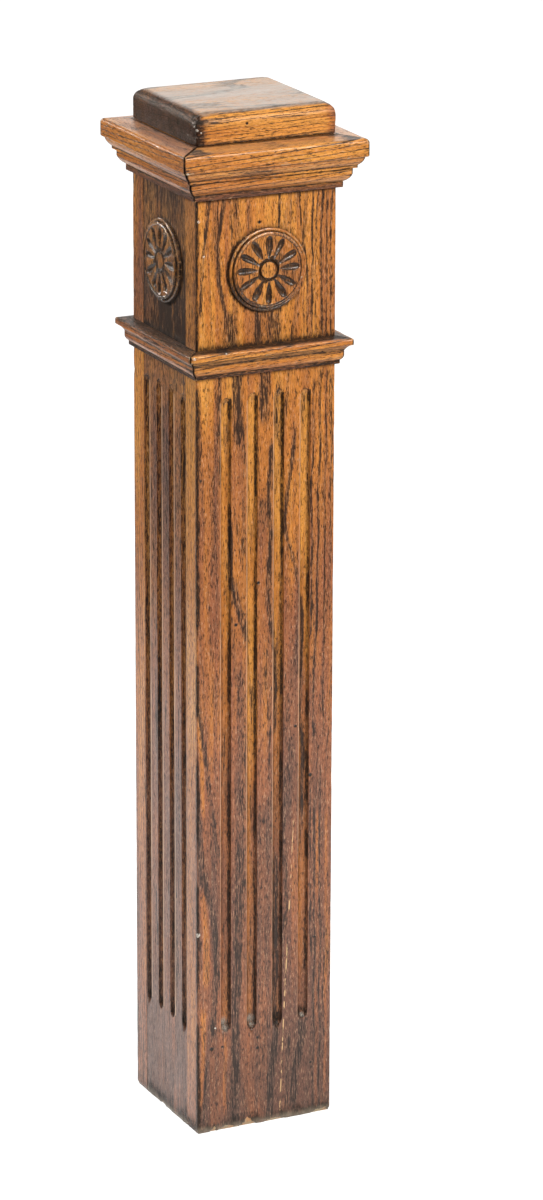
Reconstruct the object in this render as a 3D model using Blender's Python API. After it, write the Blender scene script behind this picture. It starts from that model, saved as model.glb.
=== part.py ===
"""Square box newel post in dark-stained oak.

Four fluted boards make a hollow shaft. A small moulding collars it, a stepped cornice crowns the plain block
above the collar, and a solid block caps it. Carved rosettes are applied to the plain block on three sides,
and the back has a shallow seat for the end of a handrail instead.

Units are metres and +Z is up. The origin is on the floor, at the centre of the foot. The front faces -Y.
"""

import math

import bmesh
import bpy
from mathutils import Matrix, Vector

# Shaft
SHAFT_WIDTH = 0.152
BOARD_THICKNESS = 0.025
ARRIS_RADIUS = 0.0012
COLLAR_LEDGE_HEIGHT = 0.835
BLOCK_HEIGHT = 0.1515

# Flutes, kept between the seams of the side boards
FLUTE_COUNT = 4
FLUTE_WIDTH = 0.0115
FLUTE_DEPTH = 0.0045
FLUTE_END_TAPER = 0.011
FLUTE_FOOT_HEIGHT = 0.107
FLUTE_HEAD_GAP = 0.0193
FLUTE_SEAM_MARGIN = 0.0012

# Collar, from its bottom edge up: each form's reach from the board's face, and its height
COLLAR_FILLET_REACH = 0.0037
COLLAR_FILLET_HEIGHT = 0.0038
COLLAR_OVOLO_HEIGHT = 0.0049
COLLAR_BAND_REACH = 0.0069
COLLAR_BAND_HEIGHT = 0.0053
COLLAR_COVE_REACH = 0.0126
COLLAR_COVE_HEIGHT = 0.0060
COLLAR_NOSE_REACH = 0.0140
COLLAR_NOSE_HEIGHT = 0.0070
COLLAR_NOSE_RADIUS = 0.0018
COLLAR_LEDGE_FALL = 0.0015

# Cornice, from its bottom edge up, in the same way
CORNICE_FILLET_REACH = 0.0052
CORNICE_FILLET_HEIGHT = 0.0060
CORNICE_LOWER_OVOLO_HEIGHT = 0.0080
CORNICE_BAND_REACH = 0.0122
CORNICE_BAND_HEIGHT = 0.0065
CORNICE_STEP_REACH = 0.0158
CORNICE_STEP_HEIGHT = 0.0028
CORNICE_UPPER_OVOLO_REACH = 0.0214
CORNICE_UPPER_OVOLO_HEIGHT = 0.0088
CORNICE_NOSE_REACH = 0.0243
CORNICE_NOSE_HEIGHT = 0.0185
CORNICE_NOSE_RADIUS = 0.0036
CORNICE_LEDGE_FALL = 0.0024

# Cap block
CAP_HEIGHT = 0.0315
CAP_EDGE_RADIUS = 0.0115

# Rosettes
ROSETTE_RADIUS = 0.0423
ROSETTE_OUTER_BEAD_WIDTH = 0.0036
ROSETTE_OUTER_BEAD_HEIGHT = 0.0042
ROSETTE_INNER_BEAD_WIDTH = 0.0034
ROSETTE_INNER_BEAD_HEIGHT = 0.0068
ROSETTE_FACE_HEIGHT = 0.0058
ROSETTE_BUTTON_RADIUS = 0.0082
ROSETTE_RING_WIDTH = 0.0028
ROSETTE_RING_DEPTH = 0.0024
GOUGE_COUNT = 12
GOUGE_WIDTH = 0.0072
GOUGE_DEPTH = 0.0034
GOUGE_RIM_MARGIN = 0.0016
GOUGE_RING_MARGIN = 0.0008

# Seat for the end of a handrail, cut into the back of the plain block
RAIL_SEAT_WIDTH = 0.064
RAIL_SEAT_HEIGHT = 0.060
RAIL_SEAT_DEPTH = 0.0015

# Clearance between pieces that touch
JOINT_GAP = 0.0003

# How far a cutter stands out of the face that it cuts
CUTTER_PROUD = 0.002

# Fineness of the curved forms
OVOLO_BULGE = 0.10
COVE_BULGE = -0.08
ARC_STEPS = 3
TURNED_STEPS = 36
FLUTE_SEGMENTS = 12
FLUTE_RINGS = 7
GOUGE_SEGMENTS = 8
GOUGE_RINGS = 5

# Sizes that follow
COLLAR_HEIGHT = (
    COLLAR_FILLET_HEIGHT
    + COLLAR_OVOLO_HEIGHT
    + COLLAR_BAND_HEIGHT
    + COLLAR_COVE_HEIGHT
    + COLLAR_NOSE_HEIGHT
    + COLLAR_LEDGE_FALL
)
CORNICE_HEIGHT = (
    CORNICE_FILLET_HEIGHT
    + CORNICE_LOWER_OVOLO_HEIGHT
    + CORNICE_BAND_HEIGHT
    + CORNICE_STEP_HEIGHT
    + CORNICE_UPPER_OVOLO_HEIGHT
    + CORNICE_NOSE_HEIGHT
    + CORNICE_LEDGE_FALL
)
HALF_WIDTH = SHAFT_WIDTH / 2
SIDE_BOARD_WIDTH = SHAFT_WIDTH - 2 * (BOARD_THICKNESS + JOINT_GAP)
COLLAR_BOTTOM = COLLAR_LEDGE_HEIGHT - COLLAR_HEIGHT
CORNICE_BOTTOM = COLLAR_LEDGE_HEIGHT + BLOCK_HEIGHT
BOARD_HEIGHT = CORNICE_BOTTOM + CORNICE_HEIGHT
BLOCK_CENTRE_HEIGHT = COLLAR_LEDGE_HEIGHT + BLOCK_HEIGHT / 2

# Each side's turn about +Z, from the front
SIDES = {"front": 0.0, "right": 90.0, "back": 180.0, "left": 270.0}
FULL_WIDTH_SIDES = ("front", "back")
ROSETTE_SIDES = ("front", "right", "left")
RAIL_SIDE = "back"

# Stain colours, linear, with roughness
BOARD_FINISH = ((0.31, 0.125, 0.045), 0.38)
MOULDING_FINISH = ((0.33, 0.14, 0.045), 0.34)
CAP_FINISH = ((0.27, 0.12, 0.045), 0.42)
ROSETTE_FINISH = ((0.26, 0.11, 0.04), 0.30)


def clear_scene():
    """Removes the objects that Blender starts with."""
    for item in list(bpy.data.objects):
        bpy.data.objects.remove(item)


def make_collection(name):
    """A new collection in the scene."""
    collection = bpy.data.collections.new(name)
    bpy.context.scene.collection.children.link(collection)
    return collection


def oak(name, finish):
    """A plain stained-oak material for one piece."""
    colour, roughness = finish
    material = bpy.data.materials.new(name)
    material.use_nodes = True
    shader = material.node_tree.nodes["Principled BSDF"]
    shader.inputs["Base Color"].default_value = (*colour, 1.0)
    shader.inputs["Roughness"].default_value = roughness
    shader.inputs["Metallic"].default_value = 0.0
    return material


def add_piece(name, mesh, collection, root, turn, finish, height=0.0):
    """Places a mesh as a piece of the post, turned to its side and raised to its height."""
    piece = bpy.data.objects.new(name, mesh)
    collection.objects.link(piece)
    piece.parent = root
    piece.location = (0, 0, height)
    piece.rotation_euler = (0, 0, math.radians(turn))
    mesh.materials.append(oak(name, finish))
    return piece


def add_cutter(name, mesh, collection, piece):
    """Places a mesh where the piece is, and cuts the piece with it."""
    cutter = bpy.data.objects.new(name, mesh)
    collection.objects.link(cutter)
    cutter.parent = piece.parent
    cutter.location = piece.location
    cutter.rotation_euler = piece.rotation_euler
    cutter.hide_render = True
    cutter.display_type = "WIRE"
    cut = piece.modifiers.new("cut", "BOOLEAN")
    cut.operation = "DIFFERENCE"
    cut.solver = "EXACT"
    cut.object = cutter
    return cutter


def finish_mesh(shape, name):
    """Turns a bmesh into a mesh with its faces pointing out."""
    bmesh.ops.recalc_face_normals(shape, faces=shape.faces[:])
    mesh = bpy.data.meshes.new(name)
    shape.to_mesh(mesh)
    shape.free()
    return mesh


def block_shape(low, high):
    """A bmesh box between two corners."""
    shape = bmesh.new()
    size = Vector(high) - Vector(low)
    middle = (Vector(high) + Vector(low)) / 2
    place = Matrix.Translation(middle) @ Matrix.Diagonal((*size, 1.0))
    bmesh.ops.create_cube(shape, size=1.0, matrix=place)
    return shape


def round_edges(shape, edges, radius, segments):
    """Rounds the given edges of a bmesh."""
    bmesh.ops.bevel(
        shape, geom=edges, offset=radius, segments=segments, profile=0.5, affect="EDGES"
    )


def arc_between(start, end, bulge, steps=ARC_STEPS):
    """Points along an arc from start to end, both left in.

    The bulge is the arc's height as a share of its chord. Above zero it swells outward and down, as an ovolo
    does, and below zero it is hollow, as a cove is.
    """
    start, end = Vector(start), Vector(end)
    chord = end - start
    swell = Vector((chord.y, -chord.x)) * bulge
    points = []
    for step in range(steps + 1):
        share = step / steps
        points.append(start + chord * share + swell * 4 * share * (1 - share))
    return points


def nose_points(reach, bottom, height, radius, steps=ARC_STEPS):
    """The front of a nosing: a tight round below, a flat, and a wider round above."""
    upper = min(radius, height / 2)
    lower = upper / 2
    points = []
    for centre_height, size, first in (
        (bottom + lower, lower, -90.0),
        (bottom + height - upper, upper, 0.0),
    ):
        for step in range(steps + 1):
            angle = math.radians(first + 90.0 * step / steps)
            points.append(
                Vector((reach - size + size * math.cos(angle), centre_height + size * math.sin(angle)))
            )
    return points


def collar_outline():
    """The collar in section, as (reach from the board, height above its bottom edge), going up its front."""
    fillet_top = COLLAR_FILLET_HEIGHT
    ovolo_top = fillet_top + COLLAR_OVOLO_HEIGHT
    band_top = ovolo_top + COLLAR_BAND_HEIGHT
    cove_top = band_top + COLLAR_COVE_HEIGHT
    front = [Vector((COLLAR_FILLET_REACH, 0.0))]
    front += arc_between((COLLAR_FILLET_REACH, fillet_top), (COLLAR_BAND_REACH, ovolo_top), OVOLO_BULGE)
    front += arc_between((COLLAR_BAND_REACH, band_top), (COLLAR_COVE_REACH, cove_top), COVE_BULGE)
    front += nose_points(COLLAR_NOSE_REACH, cove_top, COLLAR_NOSE_HEIGHT, COLLAR_NOSE_RADIUS)
    return closed_outline(front, COLLAR_HEIGHT)


def cornice_outline():
    """The cornice in section, in the same form as the collar's."""
    fillet_top = CORNICE_FILLET_HEIGHT
    lower_top = fillet_top + CORNICE_LOWER_OVOLO_HEIGHT
    band_top = lower_top + CORNICE_BAND_HEIGHT
    step_top = band_top + CORNICE_STEP_HEIGHT
    upper_top = step_top + CORNICE_UPPER_OVOLO_HEIGHT
    front = [Vector((CORNICE_FILLET_REACH, 0.0))]
    front += arc_between((CORNICE_FILLET_REACH, fillet_top), (CORNICE_BAND_REACH, lower_top), OVOLO_BULGE)
    front += [Vector((CORNICE_BAND_REACH, band_top)), Vector((CORNICE_STEP_REACH, band_top))]
    front += arc_between(
        (CORNICE_STEP_REACH, step_top), (CORNICE_UPPER_OVOLO_REACH, upper_top), OVOLO_BULGE
    )
    front += nose_points(CORNICE_NOSE_REACH, upper_top, CORNICE_NOSE_HEIGHT, CORNICE_NOSE_RADIUS)
    return closed_outline(front, CORNICE_HEIGHT)


def closed_outline(front, height):
    """A moulding's outline: its back, a clearance off the board, and then its front."""
    return [Vector((JOINT_GAP, height)), Vector((JOINT_GAP, 0.0)), *front]


def moulding_mesh(outline, name):
    """A length of moulding for the front, mitred at both ends to meet the lengths round the corners."""
    mitre_setback = JOINT_GAP / math.sqrt(2)
    shape = bmesh.new()
    corners = [shape.verts.new((-1.0, -HALF_WIDTH - reach, height)) for reach, height in outline]
    section = shape.faces.new(corners)
    swept = bmesh.ops.extrude_face_region(shape, geom=[section])["geom"]
    for item in swept:
        if isinstance(item, bmesh.types.BMVert):
            item.co.x = 1.0
    for corner in shape.verts:
        corner.co.x *= -corner.co.y - mitre_setback
    return finish_mesh(shape, name)


def board_mesh(side):
    """One board of the shaft, standing on the floor at the front."""
    full_width = side in FULL_WIDTH_SIDES
    half = HALF_WIDTH if full_width else SIDE_BOARD_WIDTH / 2
    shape = block_shape(
        (-half, -HALF_WIDTH, 0.0), (half, -HALF_WIDTH + BOARD_THICKNESS, BOARD_HEIGHT)
    )
    if full_width:
        outer = [
            edge
            for edge in shape.edges
            if all(abs(end.co.y + HALF_WIDTH) < JOINT_GAP for end in edge.verts)
            and abs(edge.verts[0].co.z - edge.verts[1].co.z) > JOINT_GAP
        ]
        round_edges(shape, outer, ARRIS_RADIUS, ARC_STEPS - 1)
    return finish_mesh(shape, f"board_{side}")


def flute_cutter_mesh():
    """Cutters for one board's flutes: half-round grooves whose ends taper out."""
    first = -SIDE_BOARD_WIDTH / 2 + FLUTE_SEAM_MARGIN + FLUTE_WIDTH / 2
    pitch = -2 * first / (FLUTE_COUNT - 1)
    top = COLLAR_BOTTOM - FLUTE_HEAD_GAP
    straight = top - FLUTE_FOOT_HEIGHT - 2 * FLUTE_END_TAPER
    # With an odd number of rings, the widest two lie either side of the middle.
    ring_radius = math.sin(math.pi * (FLUTE_RINGS // 2) / FLUTE_RINGS)
    shape = bmesh.new()
    for number in range(FLUTE_COUNT):
        made = bmesh.ops.create_uvsphere(
            shape, u_segments=FLUTE_SEGMENTS, v_segments=FLUTE_RINGS, radius=1.0
        )["verts"]
        for point in made:
            up = 1 if point.co.z > 0 else -1
            point.co.x *= FLUTE_WIDTH / 2 / ring_radius
            point.co.y *= FLUTE_DEPTH / ring_radius
            point.co.z = point.co.z * FLUTE_END_TAPER + up * straight / 2
            point.co += Vector((first + pitch * number, -HALF_WIDTH, (top + FLUTE_FOOT_HEIGHT) / 2))
    return finish_mesh(shape, "flute_cutters")


def rail_seat_cutter_mesh():
    """Cutter for the handrail's seat, standing proud of the face that it cuts."""
    low = (-RAIL_SEAT_WIDTH / 2, -HALF_WIDTH - CUTTER_PROUD, BLOCK_CENTRE_HEIGHT - RAIL_SEAT_HEIGHT / 2)
    high = (RAIL_SEAT_WIDTH / 2, -HALF_WIDTH + RAIL_SEAT_DEPTH, BLOCK_CENTRE_HEIGHT + RAIL_SEAT_HEIGHT / 2)
    return finish_mesh(block_shape(low, high), "rail_seat_cutter")


def cap_mesh():
    """The block on top, with its four upper edges rounded over."""
    shape = block_shape(
        (-HALF_WIDTH, -HALF_WIDTH, BOARD_HEIGHT + JOINT_GAP),
        (HALF_WIDTH, HALF_WIDTH, BOARD_HEIGHT + CAP_HEIGHT),
    )
    middle = BOARD_HEIGHT + CAP_HEIGHT / 2
    upper = [edge for edge in shape.edges if all(end.co.z > middle for end in edge.verts)]
    round_edges(shape, upper, min(CAP_EDGE_RADIUS, CAP_HEIGHT * 0.9), ARC_STEPS + 2)
    return finish_mesh(shape, "cap_block")


def bead_points(outer, width, crown, root, steps=ARC_STEPS):
    """A turned bead in section, from its outer edge inward, as (radius, height) points."""
    centre = outer - width / 2
    points = []
    for step in range(steps + 1):
        angle = math.pi * step / steps
        rise = math.sin(angle) * (crown - root)
        points.append(Vector((centre + math.cos(angle) * width / 2, root + rise)))
    return points


def rosette_outline():
    """The rosette's turned section, from the rim at the board to the centre of its face."""
    face_radius = ROSETTE_RADIUS - ROSETTE_OUTER_BEAD_WIDTH - ROSETTE_INNER_BEAD_WIDTH
    ring_radius = ROSETTE_BUTTON_RADIUS + ROSETTE_RING_WIDTH
    ring_middle = ROSETTE_BUTTON_RADIUS + ROSETTE_RING_WIDTH / 2
    outer_root = ROSETTE_OUTER_BEAD_HEIGHT - ROSETTE_OUTER_BEAD_WIDTH / 2
    inner_root = ROSETTE_INNER_BEAD_HEIGHT - ROSETTE_INNER_BEAD_WIDTH / 2
    outline = [Vector((0.0, JOINT_GAP)), Vector((ROSETTE_RADIUS, JOINT_GAP))]
    outline += bead_points(
        ROSETTE_RADIUS, ROSETTE_OUTER_BEAD_WIDTH, ROSETTE_OUTER_BEAD_HEIGHT, outer_root
    )
    outline += bead_points(
        ROSETTE_RADIUS - ROSETTE_OUTER_BEAD_WIDTH,
        ROSETTE_INNER_BEAD_WIDTH,
        ROSETTE_INNER_BEAD_HEIGHT,
        inner_root,
    )
    outline += [
        Vector((face_radius, ROSETTE_FACE_HEIGHT)),
        Vector((ring_radius, ROSETTE_FACE_HEIGHT)),
        Vector((ring_middle, ROSETTE_FACE_HEIGHT - ROSETTE_RING_DEPTH)),
        Vector((ROSETTE_BUTTON_RADIUS, ROSETTE_FACE_HEIGHT)),
        Vector((0.0, ROSETTE_FACE_HEIGHT)),
    ]
    return outline


def rosette_mesh(name):
    """The rosette turned about an axis that stands out of the front, its centre at the height of the origin."""
    shape = bmesh.new()
    points = [shape.verts.new((radius, -HALF_WIDTH - height, 0.0)) for radius, height in rosette_outline()]
    edges = [shape.edges.new(pair) for pair in zip(points, points[1:])]
    bmesh.ops.spin(
        shape,
        geom=points + edges,
        cent=(0.0, 0.0, 0.0),
        axis=(0.0, 1.0, 0.0),
        angle=2 * math.pi,
        steps=TURNED_STEPS,
        use_merge=True,
    )
    bmesh.ops.remove_doubles(shape, verts=shape.verts[:], dist=JOINT_GAP / 10)
    return finish_mesh(shape, name)


def gouge_cutter_mesh():
    """Cutters for the rosette's gouges, each a drop that widens outward."""
    face_radius = ROSETTE_RADIUS - ROSETTE_OUTER_BEAD_WIDTH - ROSETTE_INNER_BEAD_WIDTH
    near = ROSETTE_BUTTON_RADIUS + ROSETTE_RING_WIDTH + GOUGE_RING_MARGIN
    far = face_radius - GOUGE_RIM_MARGIN
    shape = bmesh.new()
    for number in range(GOUGE_COUNT):
        made = bmesh.ops.create_uvsphere(
            shape, u_segments=GOUGE_SEGMENTS, v_segments=GOUGE_RINGS, radius=1.0
        )["verts"]
        turn = Matrix.Rotation(2 * math.pi * number / GOUGE_COUNT, 3, "Y")
        for point in made:
            along = (point.co.z + 1) / 2
            fullness = 0.45 + 0.75 * along
            across = point.co.x * fullness * GOUGE_WIDTH / 2
            deep = point.co.y * fullness * GOUGE_DEPTH
            radial = near + (far - near) * along
            point.co = turn @ Vector((across, deep, radial))
            point.co.y -= HALF_WIDTH + ROSETTE_FACE_HEIGHT
    return finish_mesh(shape, "gouge_cutters")


def build():
    """Makes every piece of the post."""
    clear_scene()
    pieces = make_collection("newel_post")
    cutters = make_collection("cutters")
    root = bpy.data.objects.new("post_origin", None)
    pieces.objects.link(root)

    for side, turn in SIDES.items():
        board = add_piece(f"board_{side}", board_mesh(side), pieces, root, turn, BOARD_FINISH)
        add_cutter(f"flute_cutters_{side}", flute_cutter_mesh(), cutters, board)
        if side == RAIL_SIDE:
            add_cutter("rail_seat_cutter", rail_seat_cutter_mesh(), cutters, board)

        collar = moulding_mesh(collar_outline(), f"collar_{side}")
        add_piece(f"collar_{side}", collar, pieces, root, turn, MOULDING_FINISH, COLLAR_BOTTOM)

        cornice = moulding_mesh(cornice_outline(), f"cornice_{side}")
        add_piece(f"cornice_{side}", cornice, pieces, root, turn, MOULDING_FINISH, CORNICE_BOTTOM)

    for side in ROSETTE_SIDES:
        name = f"rosette_{side}"
        rosette = add_piece(
            name, rosette_mesh(name), pieces, root, SIDES[side], ROSETTE_FINISH, BLOCK_CENTRE_HEIGHT
        )
        add_cutter(f"gouge_cutters_{side}", gouge_cutter_mesh(), cutters, rosette)

    add_piece("cap_block", cap_mesh(), pieces, root, 0.0, CAP_FINISH)


build()
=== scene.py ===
"""The look of the square oak newel post.

Every solid of the post is replaced by a finer mesh of the same form. The boards have flutes, dents and worn
edges, the mouldings have mitres that have opened a little, and the rosettes have hand-cut gouges. One solid
oak material, turned to each piece's grain, gives rings, open pores, stain, grime and worn varnish. Its colour
also holds painted shade in the flutes, the creases and the rosettes, a painted sheen in the dust on what
faces up, and painted highlights and glints on some arrises, on the rosettes' crests and at the flutes' feet.

Units are metres and +Z is up. The front faces -Y. Lengths inside the oak material are millimetres.
"""

import itertools
import math

import bmesh
import bpy
import numpy as np
from mathutils import Matrix, Vector


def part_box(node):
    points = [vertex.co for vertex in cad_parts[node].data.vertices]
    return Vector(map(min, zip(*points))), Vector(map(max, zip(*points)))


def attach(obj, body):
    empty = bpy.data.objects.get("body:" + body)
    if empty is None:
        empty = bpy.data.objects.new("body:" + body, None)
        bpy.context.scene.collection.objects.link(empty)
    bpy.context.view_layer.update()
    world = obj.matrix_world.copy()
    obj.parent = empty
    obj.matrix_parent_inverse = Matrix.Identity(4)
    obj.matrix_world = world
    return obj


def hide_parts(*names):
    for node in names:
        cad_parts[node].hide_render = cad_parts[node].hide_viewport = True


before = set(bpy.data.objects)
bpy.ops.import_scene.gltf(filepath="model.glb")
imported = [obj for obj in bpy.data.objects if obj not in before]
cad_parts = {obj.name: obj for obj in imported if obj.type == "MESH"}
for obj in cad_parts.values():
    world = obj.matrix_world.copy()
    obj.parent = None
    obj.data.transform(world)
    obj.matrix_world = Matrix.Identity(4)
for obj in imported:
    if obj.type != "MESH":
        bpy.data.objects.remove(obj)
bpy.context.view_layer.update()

# Places read from the frame
BOARD_LOW, BOARD_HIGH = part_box("board_front")
_, SIDE_BOARD_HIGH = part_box("board_left")
COLLAR_LOW, COLLAR_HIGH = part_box("collar_front")
CORNICE_LOW, CORNICE_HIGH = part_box("cornice_front")
CAP_LOW, CAP_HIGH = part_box("cap_block")
ROSETTE_LOW, ROSETTE_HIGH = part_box("rosette_front")
HALF_WIDTH = -BOARD_LOW[1]
BOARD_THICKNESS = BOARD_HIGH[1] - BOARD_LOW[1]
SIDE_HALF_WIDTH = SIDE_BOARD_HIGH[1]
BOARD_TOP = BOARD_HIGH[2]
COLLAR_BOTTOM = COLLAR_LOW[2]
COLLAR_TOP = COLLAR_HIGH[2]
CORNICE_BOTTOM = CORNICE_LOW[2]
CORNICE_TOP = CORNICE_HIGH[2]
ROSETTE_RADIUS = (ROSETTE_HIGH[0] - ROSETTE_LOW[0]) / 2
ROSETTE_HEIGHT = (ROSETTE_HIGH[2] + ROSETTE_LOW[2]) / 2
JOINT_GAP = CAP_LOW[2] - BOARD_TOP

# Each side's turn about +Z, from the front, and its name in the frame
SIDES = {"front": 0.0, "right": 90.0, "back": 180.0, "left": 270.0}
FULL_WIDTH_SIDES = ("front", "back")
ROSETTE_SIDES = ("front", "right", "left")
RAIL_SIDE = "back"

# Forms that the solids share with this script
ARRIS_RADIUS = 0.0012
FLUTE_COUNT = 4
FLUTE_WIDTH = 0.0115
FLUTE_DEPTH = 0.0045
FLUTE_END_TAPER = 0.011
FLUTE_FOOT = 0.107
FLUTE_HEAD_GAP = 0.0193
FLUTE_SEAM_MARGIN = 0.0012
COLLAR_FILLET = (0.0037, 0.0038)
COLLAR_BAND = (0.0069, 0.0053)
COLLAR_OVOLO_HEIGHT = 0.0049
COLLAR_COVE = (0.0126, 0.0060)
COLLAR_NOSE = (0.0140, 0.0070)
COLLAR_NOSE_RADIUS = 0.0018
CORNICE_FILLET = (0.0052, 0.0060)
CORNICE_LOWER_OVOLO_HEIGHT = 0.0080
CORNICE_BAND = (0.0122, 0.0065)
CORNICE_STEP = (0.0158, 0.0028)
CORNICE_UPPER_OVOLO = (0.0214, 0.0088)
CORNICE_NOSE = (0.0243, 0.0185)
CORNICE_NOSE_RADIUS = 0.0036
OVOLO_BULGE = 0.10
COVE_BULGE = -0.08
CAP_EDGE_RADIUS = 0.0115
OUTER_BEAD = (0.0036, 0.0042)
INNER_BEAD = (0.0034, 0.0068)
FACE_RADIUS = ROSETTE_RADIUS - OUTER_BEAD[0] - INNER_BEAD[0]
ROSETTE_FACE = 0.0058
BUTTON_RADIUS = 0.0082
RING_WIDTH = 0.0028
RING_DEPTH = 0.0024
GOUGE_COUNT = 12
GOUGE_WIDTH = 0.0072
GOUGE_DEPTH = 0.0034
GOUGE_RIM_MARGIN = 0.0016
RAIL_SEAT = (0.064, 0.060, 0.0015)
SEAT_WALL = 0.0004
SHARP_ANGLE = 38

# Camera: the photograph's own place, seen from the left front and above
CAMERA_TARGET = Vector((0.0, 0.0, 0.608))
CAMERA_YAW = 0.4489
CAMERA_PITCH = 0.3061
CAMERA_ROLL = -0.0033
CAMERA_OFFSET = (-0.0387, -0.0580, 5.1158)
CAMERA_LENS = 151.16
CAMERA_SENSOR = 36.0


def ramp(low, high, value):
    """Rises smoothly from 0 to 1 as the value goes from low to high."""
    share = np.clip((value - low) / (high - low), 0.0, 1.0)
    return share * share * (3 - 2 * share)


def noise(points, cell, seed):
    """Smooth noise from 0 to 1 at the given points, on a lattice whose cells have the given size."""
    scaled = np.asarray(points, dtype=float) / np.asarray(cell, dtype=float)
    base = np.floor(scaled).astype(np.int64)
    share = scaled - base
    share = share * share * (3 - 2 * share)
    primes = np.array([73856093, 19349663, 83492791], dtype=np.int64)
    total = np.zeros(scaled.shape[:-1])
    for corner in itertools.product((0, 1), repeat=3):
        key = (base + np.array(corner)) @ primes + seed * 7919
        key = (key ^ (key >> 13)) * 1274126177
        value = ((key ^ (key >> 16)) & 0xFFFF) / 0xFFFF
        weight = np.prod(np.where(np.array(corner) == 1, share, 1 - share), axis=-1)
        total += weight * value
    return total


def turned(points, degrees):
    """Points of the front, turned about +Z to another side."""
    angle = math.radians(degrees)
    x, y, z = np.moveaxis(np.asarray(points, dtype=float), -1, 0)
    return np.stack(
        (x * math.cos(angle) - y * math.sin(angle), x * math.sin(angle) + y * math.cos(angle), z), axis=-1
    )


def arc_between(start, end, bulge, steps):
    """Points along an arc from start to end, both left in. A bulge above zero swells outward and down."""
    start, end = np.array(start), np.array(end)
    chord = end - start
    swell = np.array((chord[1], -chord[0])) * bulge
    share = np.linspace(0, 1, steps + 1)[:, None]
    return start + chord * share + swell * 4 * share * (1 - share)


def nose_points(reach, bottom, height, radius, steps):
    """The front of a nosing: a tight round below, a flat, and a wider round above."""
    upper = min(radius, height / 2)
    lower = upper / 2
    points = []
    for centre, size, first in ((bottom + lower, lower, -90.0), (bottom + height - upper, upper, 0.0)):
        angles = np.radians(np.linspace(first, first + 90.0, steps + 1))
        swing = np.stack((np.cos(angles), np.sin(angles)), axis=1)
        points.append((reach - size, centre) + size * swing)
    return np.concatenate(points)


def collar_outline(steps=7):
    """The collar in section, as (reach from the board, height above its bottom edge)."""
    fillet_top = COLLAR_FILLET[1]
    ovolo_top = fillet_top + COLLAR_OVOLO_HEIGHT
    band_top = ovolo_top + COLLAR_BAND[1]
    cove_top = band_top + COLLAR_COVE[1]
    return np.concatenate(
        (
            [(JOINT_GAP, 0.0), (COLLAR_FILLET[0], 0.0)],
            arc_between((COLLAR_FILLET[0], fillet_top), (COLLAR_BAND[0], ovolo_top), OVOLO_BULGE, steps),
            arc_between((COLLAR_BAND[0], band_top), (COLLAR_COVE[0], cove_top), COVE_BULGE, steps),
            nose_points(COLLAR_NOSE[0], cove_top, COLLAR_NOSE[1], COLLAR_NOSE_RADIUS, steps),
            [(JOINT_GAP, COLLAR_TOP - COLLAR_BOTTOM)],
        )
    )


def cornice_outline(steps=7):
    """The cornice in section, in the same form as the collar's."""
    fillet_top = CORNICE_FILLET[1]
    lower_top = fillet_top + CORNICE_LOWER_OVOLO_HEIGHT
    band_top = lower_top + CORNICE_BAND[1]
    step_top = band_top + CORNICE_STEP[1]
    upper_top = step_top + CORNICE_UPPER_OVOLO[1]
    return np.concatenate(
        (
            [(JOINT_GAP, 0.0), (CORNICE_FILLET[0], 0.0)],
            arc_between((CORNICE_FILLET[0], fillet_top), (CORNICE_BAND[0], lower_top), OVOLO_BULGE, steps),
            [(CORNICE_BAND[0], band_top), (CORNICE_STEP[0], band_top)],
            arc_between((CORNICE_STEP[0], step_top), (CORNICE_UPPER_OVOLO[0], upper_top), OVOLO_BULGE, steps),
            nose_points(CORNICE_NOSE[0], upper_top, CORNICE_NOSE[1], CORNICE_NOSE_RADIUS, steps),
            [(JOINT_GAP, CORNICE_TOP - CORNICE_BOTTOM)],
        )
    )


def resampled(outline, step):
    """The same open line with more points on its long stretches."""
    points = [outline[0]]
    for start, end in zip(outline, outline[1:]):
        count = max(1, int(np.linalg.norm(end - start) / step))
        for number in range(1, count + 1):
            points.append(start + (end - start) * number / count)
    return np.array(points)


def concavity(outline, reach):
    """How far each point of a line lies inside the chord of its neighbours, from 0 to 1 at a sharp corner."""
    steps = np.linalg.norm(np.diff(outline, axis=0), axis=1)
    along = np.concatenate(([0.0], np.cumsum(steps)))
    before = np.stack([np.interp(along - reach, along, outline[:, k]) for k in (0, 1)], axis=1)
    after = np.stack([np.interp(along + reach, along, outline[:, k]) for k in (0, 1)], axis=1)
    chord = after - before
    inside = (before + after) / 2 - outline
    turn = chord[:, 1] * inside[:, 0] - chord[:, 0] * inside[:, 1]
    depth = turn / np.maximum(np.linalg.norm(chord, axis=1), 1e-9)
    return depth / reach


def tube_mesh(name, rings, attributes):
    """A closed mesh through rings of points, with flat ends. The attributes are arrays of rows by columns."""
    rows, columns = rings.shape[:2]
    first = np.arange(rows - 1)[:, None] * columns + np.arange(columns)[None, :]
    onward = np.arange(rows - 1)[:, None] * columns + (np.arange(columns)[None, :] + 1) % columns
    sides = np.stack((first, onward, onward + columns, first + columns), axis=-1).reshape(-1, 4)
    bottom = list(range(columns))[::-1]
    top = [(rows - 1) * columns + column for column in range(columns)]
    mesh = bpy.data.meshes.new(name)
    mesh.from_pydata(rings.reshape(-1, 3).tolist(), [], sides.tolist() + [bottom, top])
    shape = bmesh.new()
    shape.from_mesh(mesh)
    bmesh.ops.recalc_face_normals(shape, faces=shape.faces[:])
    shape.to_mesh(mesh)
    shape.free()
    for key, values in attributes.items():
        layer = mesh.attributes.new(key, "FLOAT", "POINT")
        layer.data.foreach_set("value", np.asarray(values, dtype=np.float32).reshape(-1))
    mesh.shade_smooth()
    mesh.set_sharp_from_angle(angle=math.radians(SHARP_ANGLE))
    return mesh


def add_piece(name, node, mesh, material):
    """Puts a mesh in the scene as the piece that stands for a node of the frame."""
    piece = bpy.data.objects.new(name, mesh)
    bpy.context.scene.collection.objects.link(piece)
    mesh.materials.append(material)
    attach(piece, "root")
    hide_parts(node)


# Boards

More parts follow.
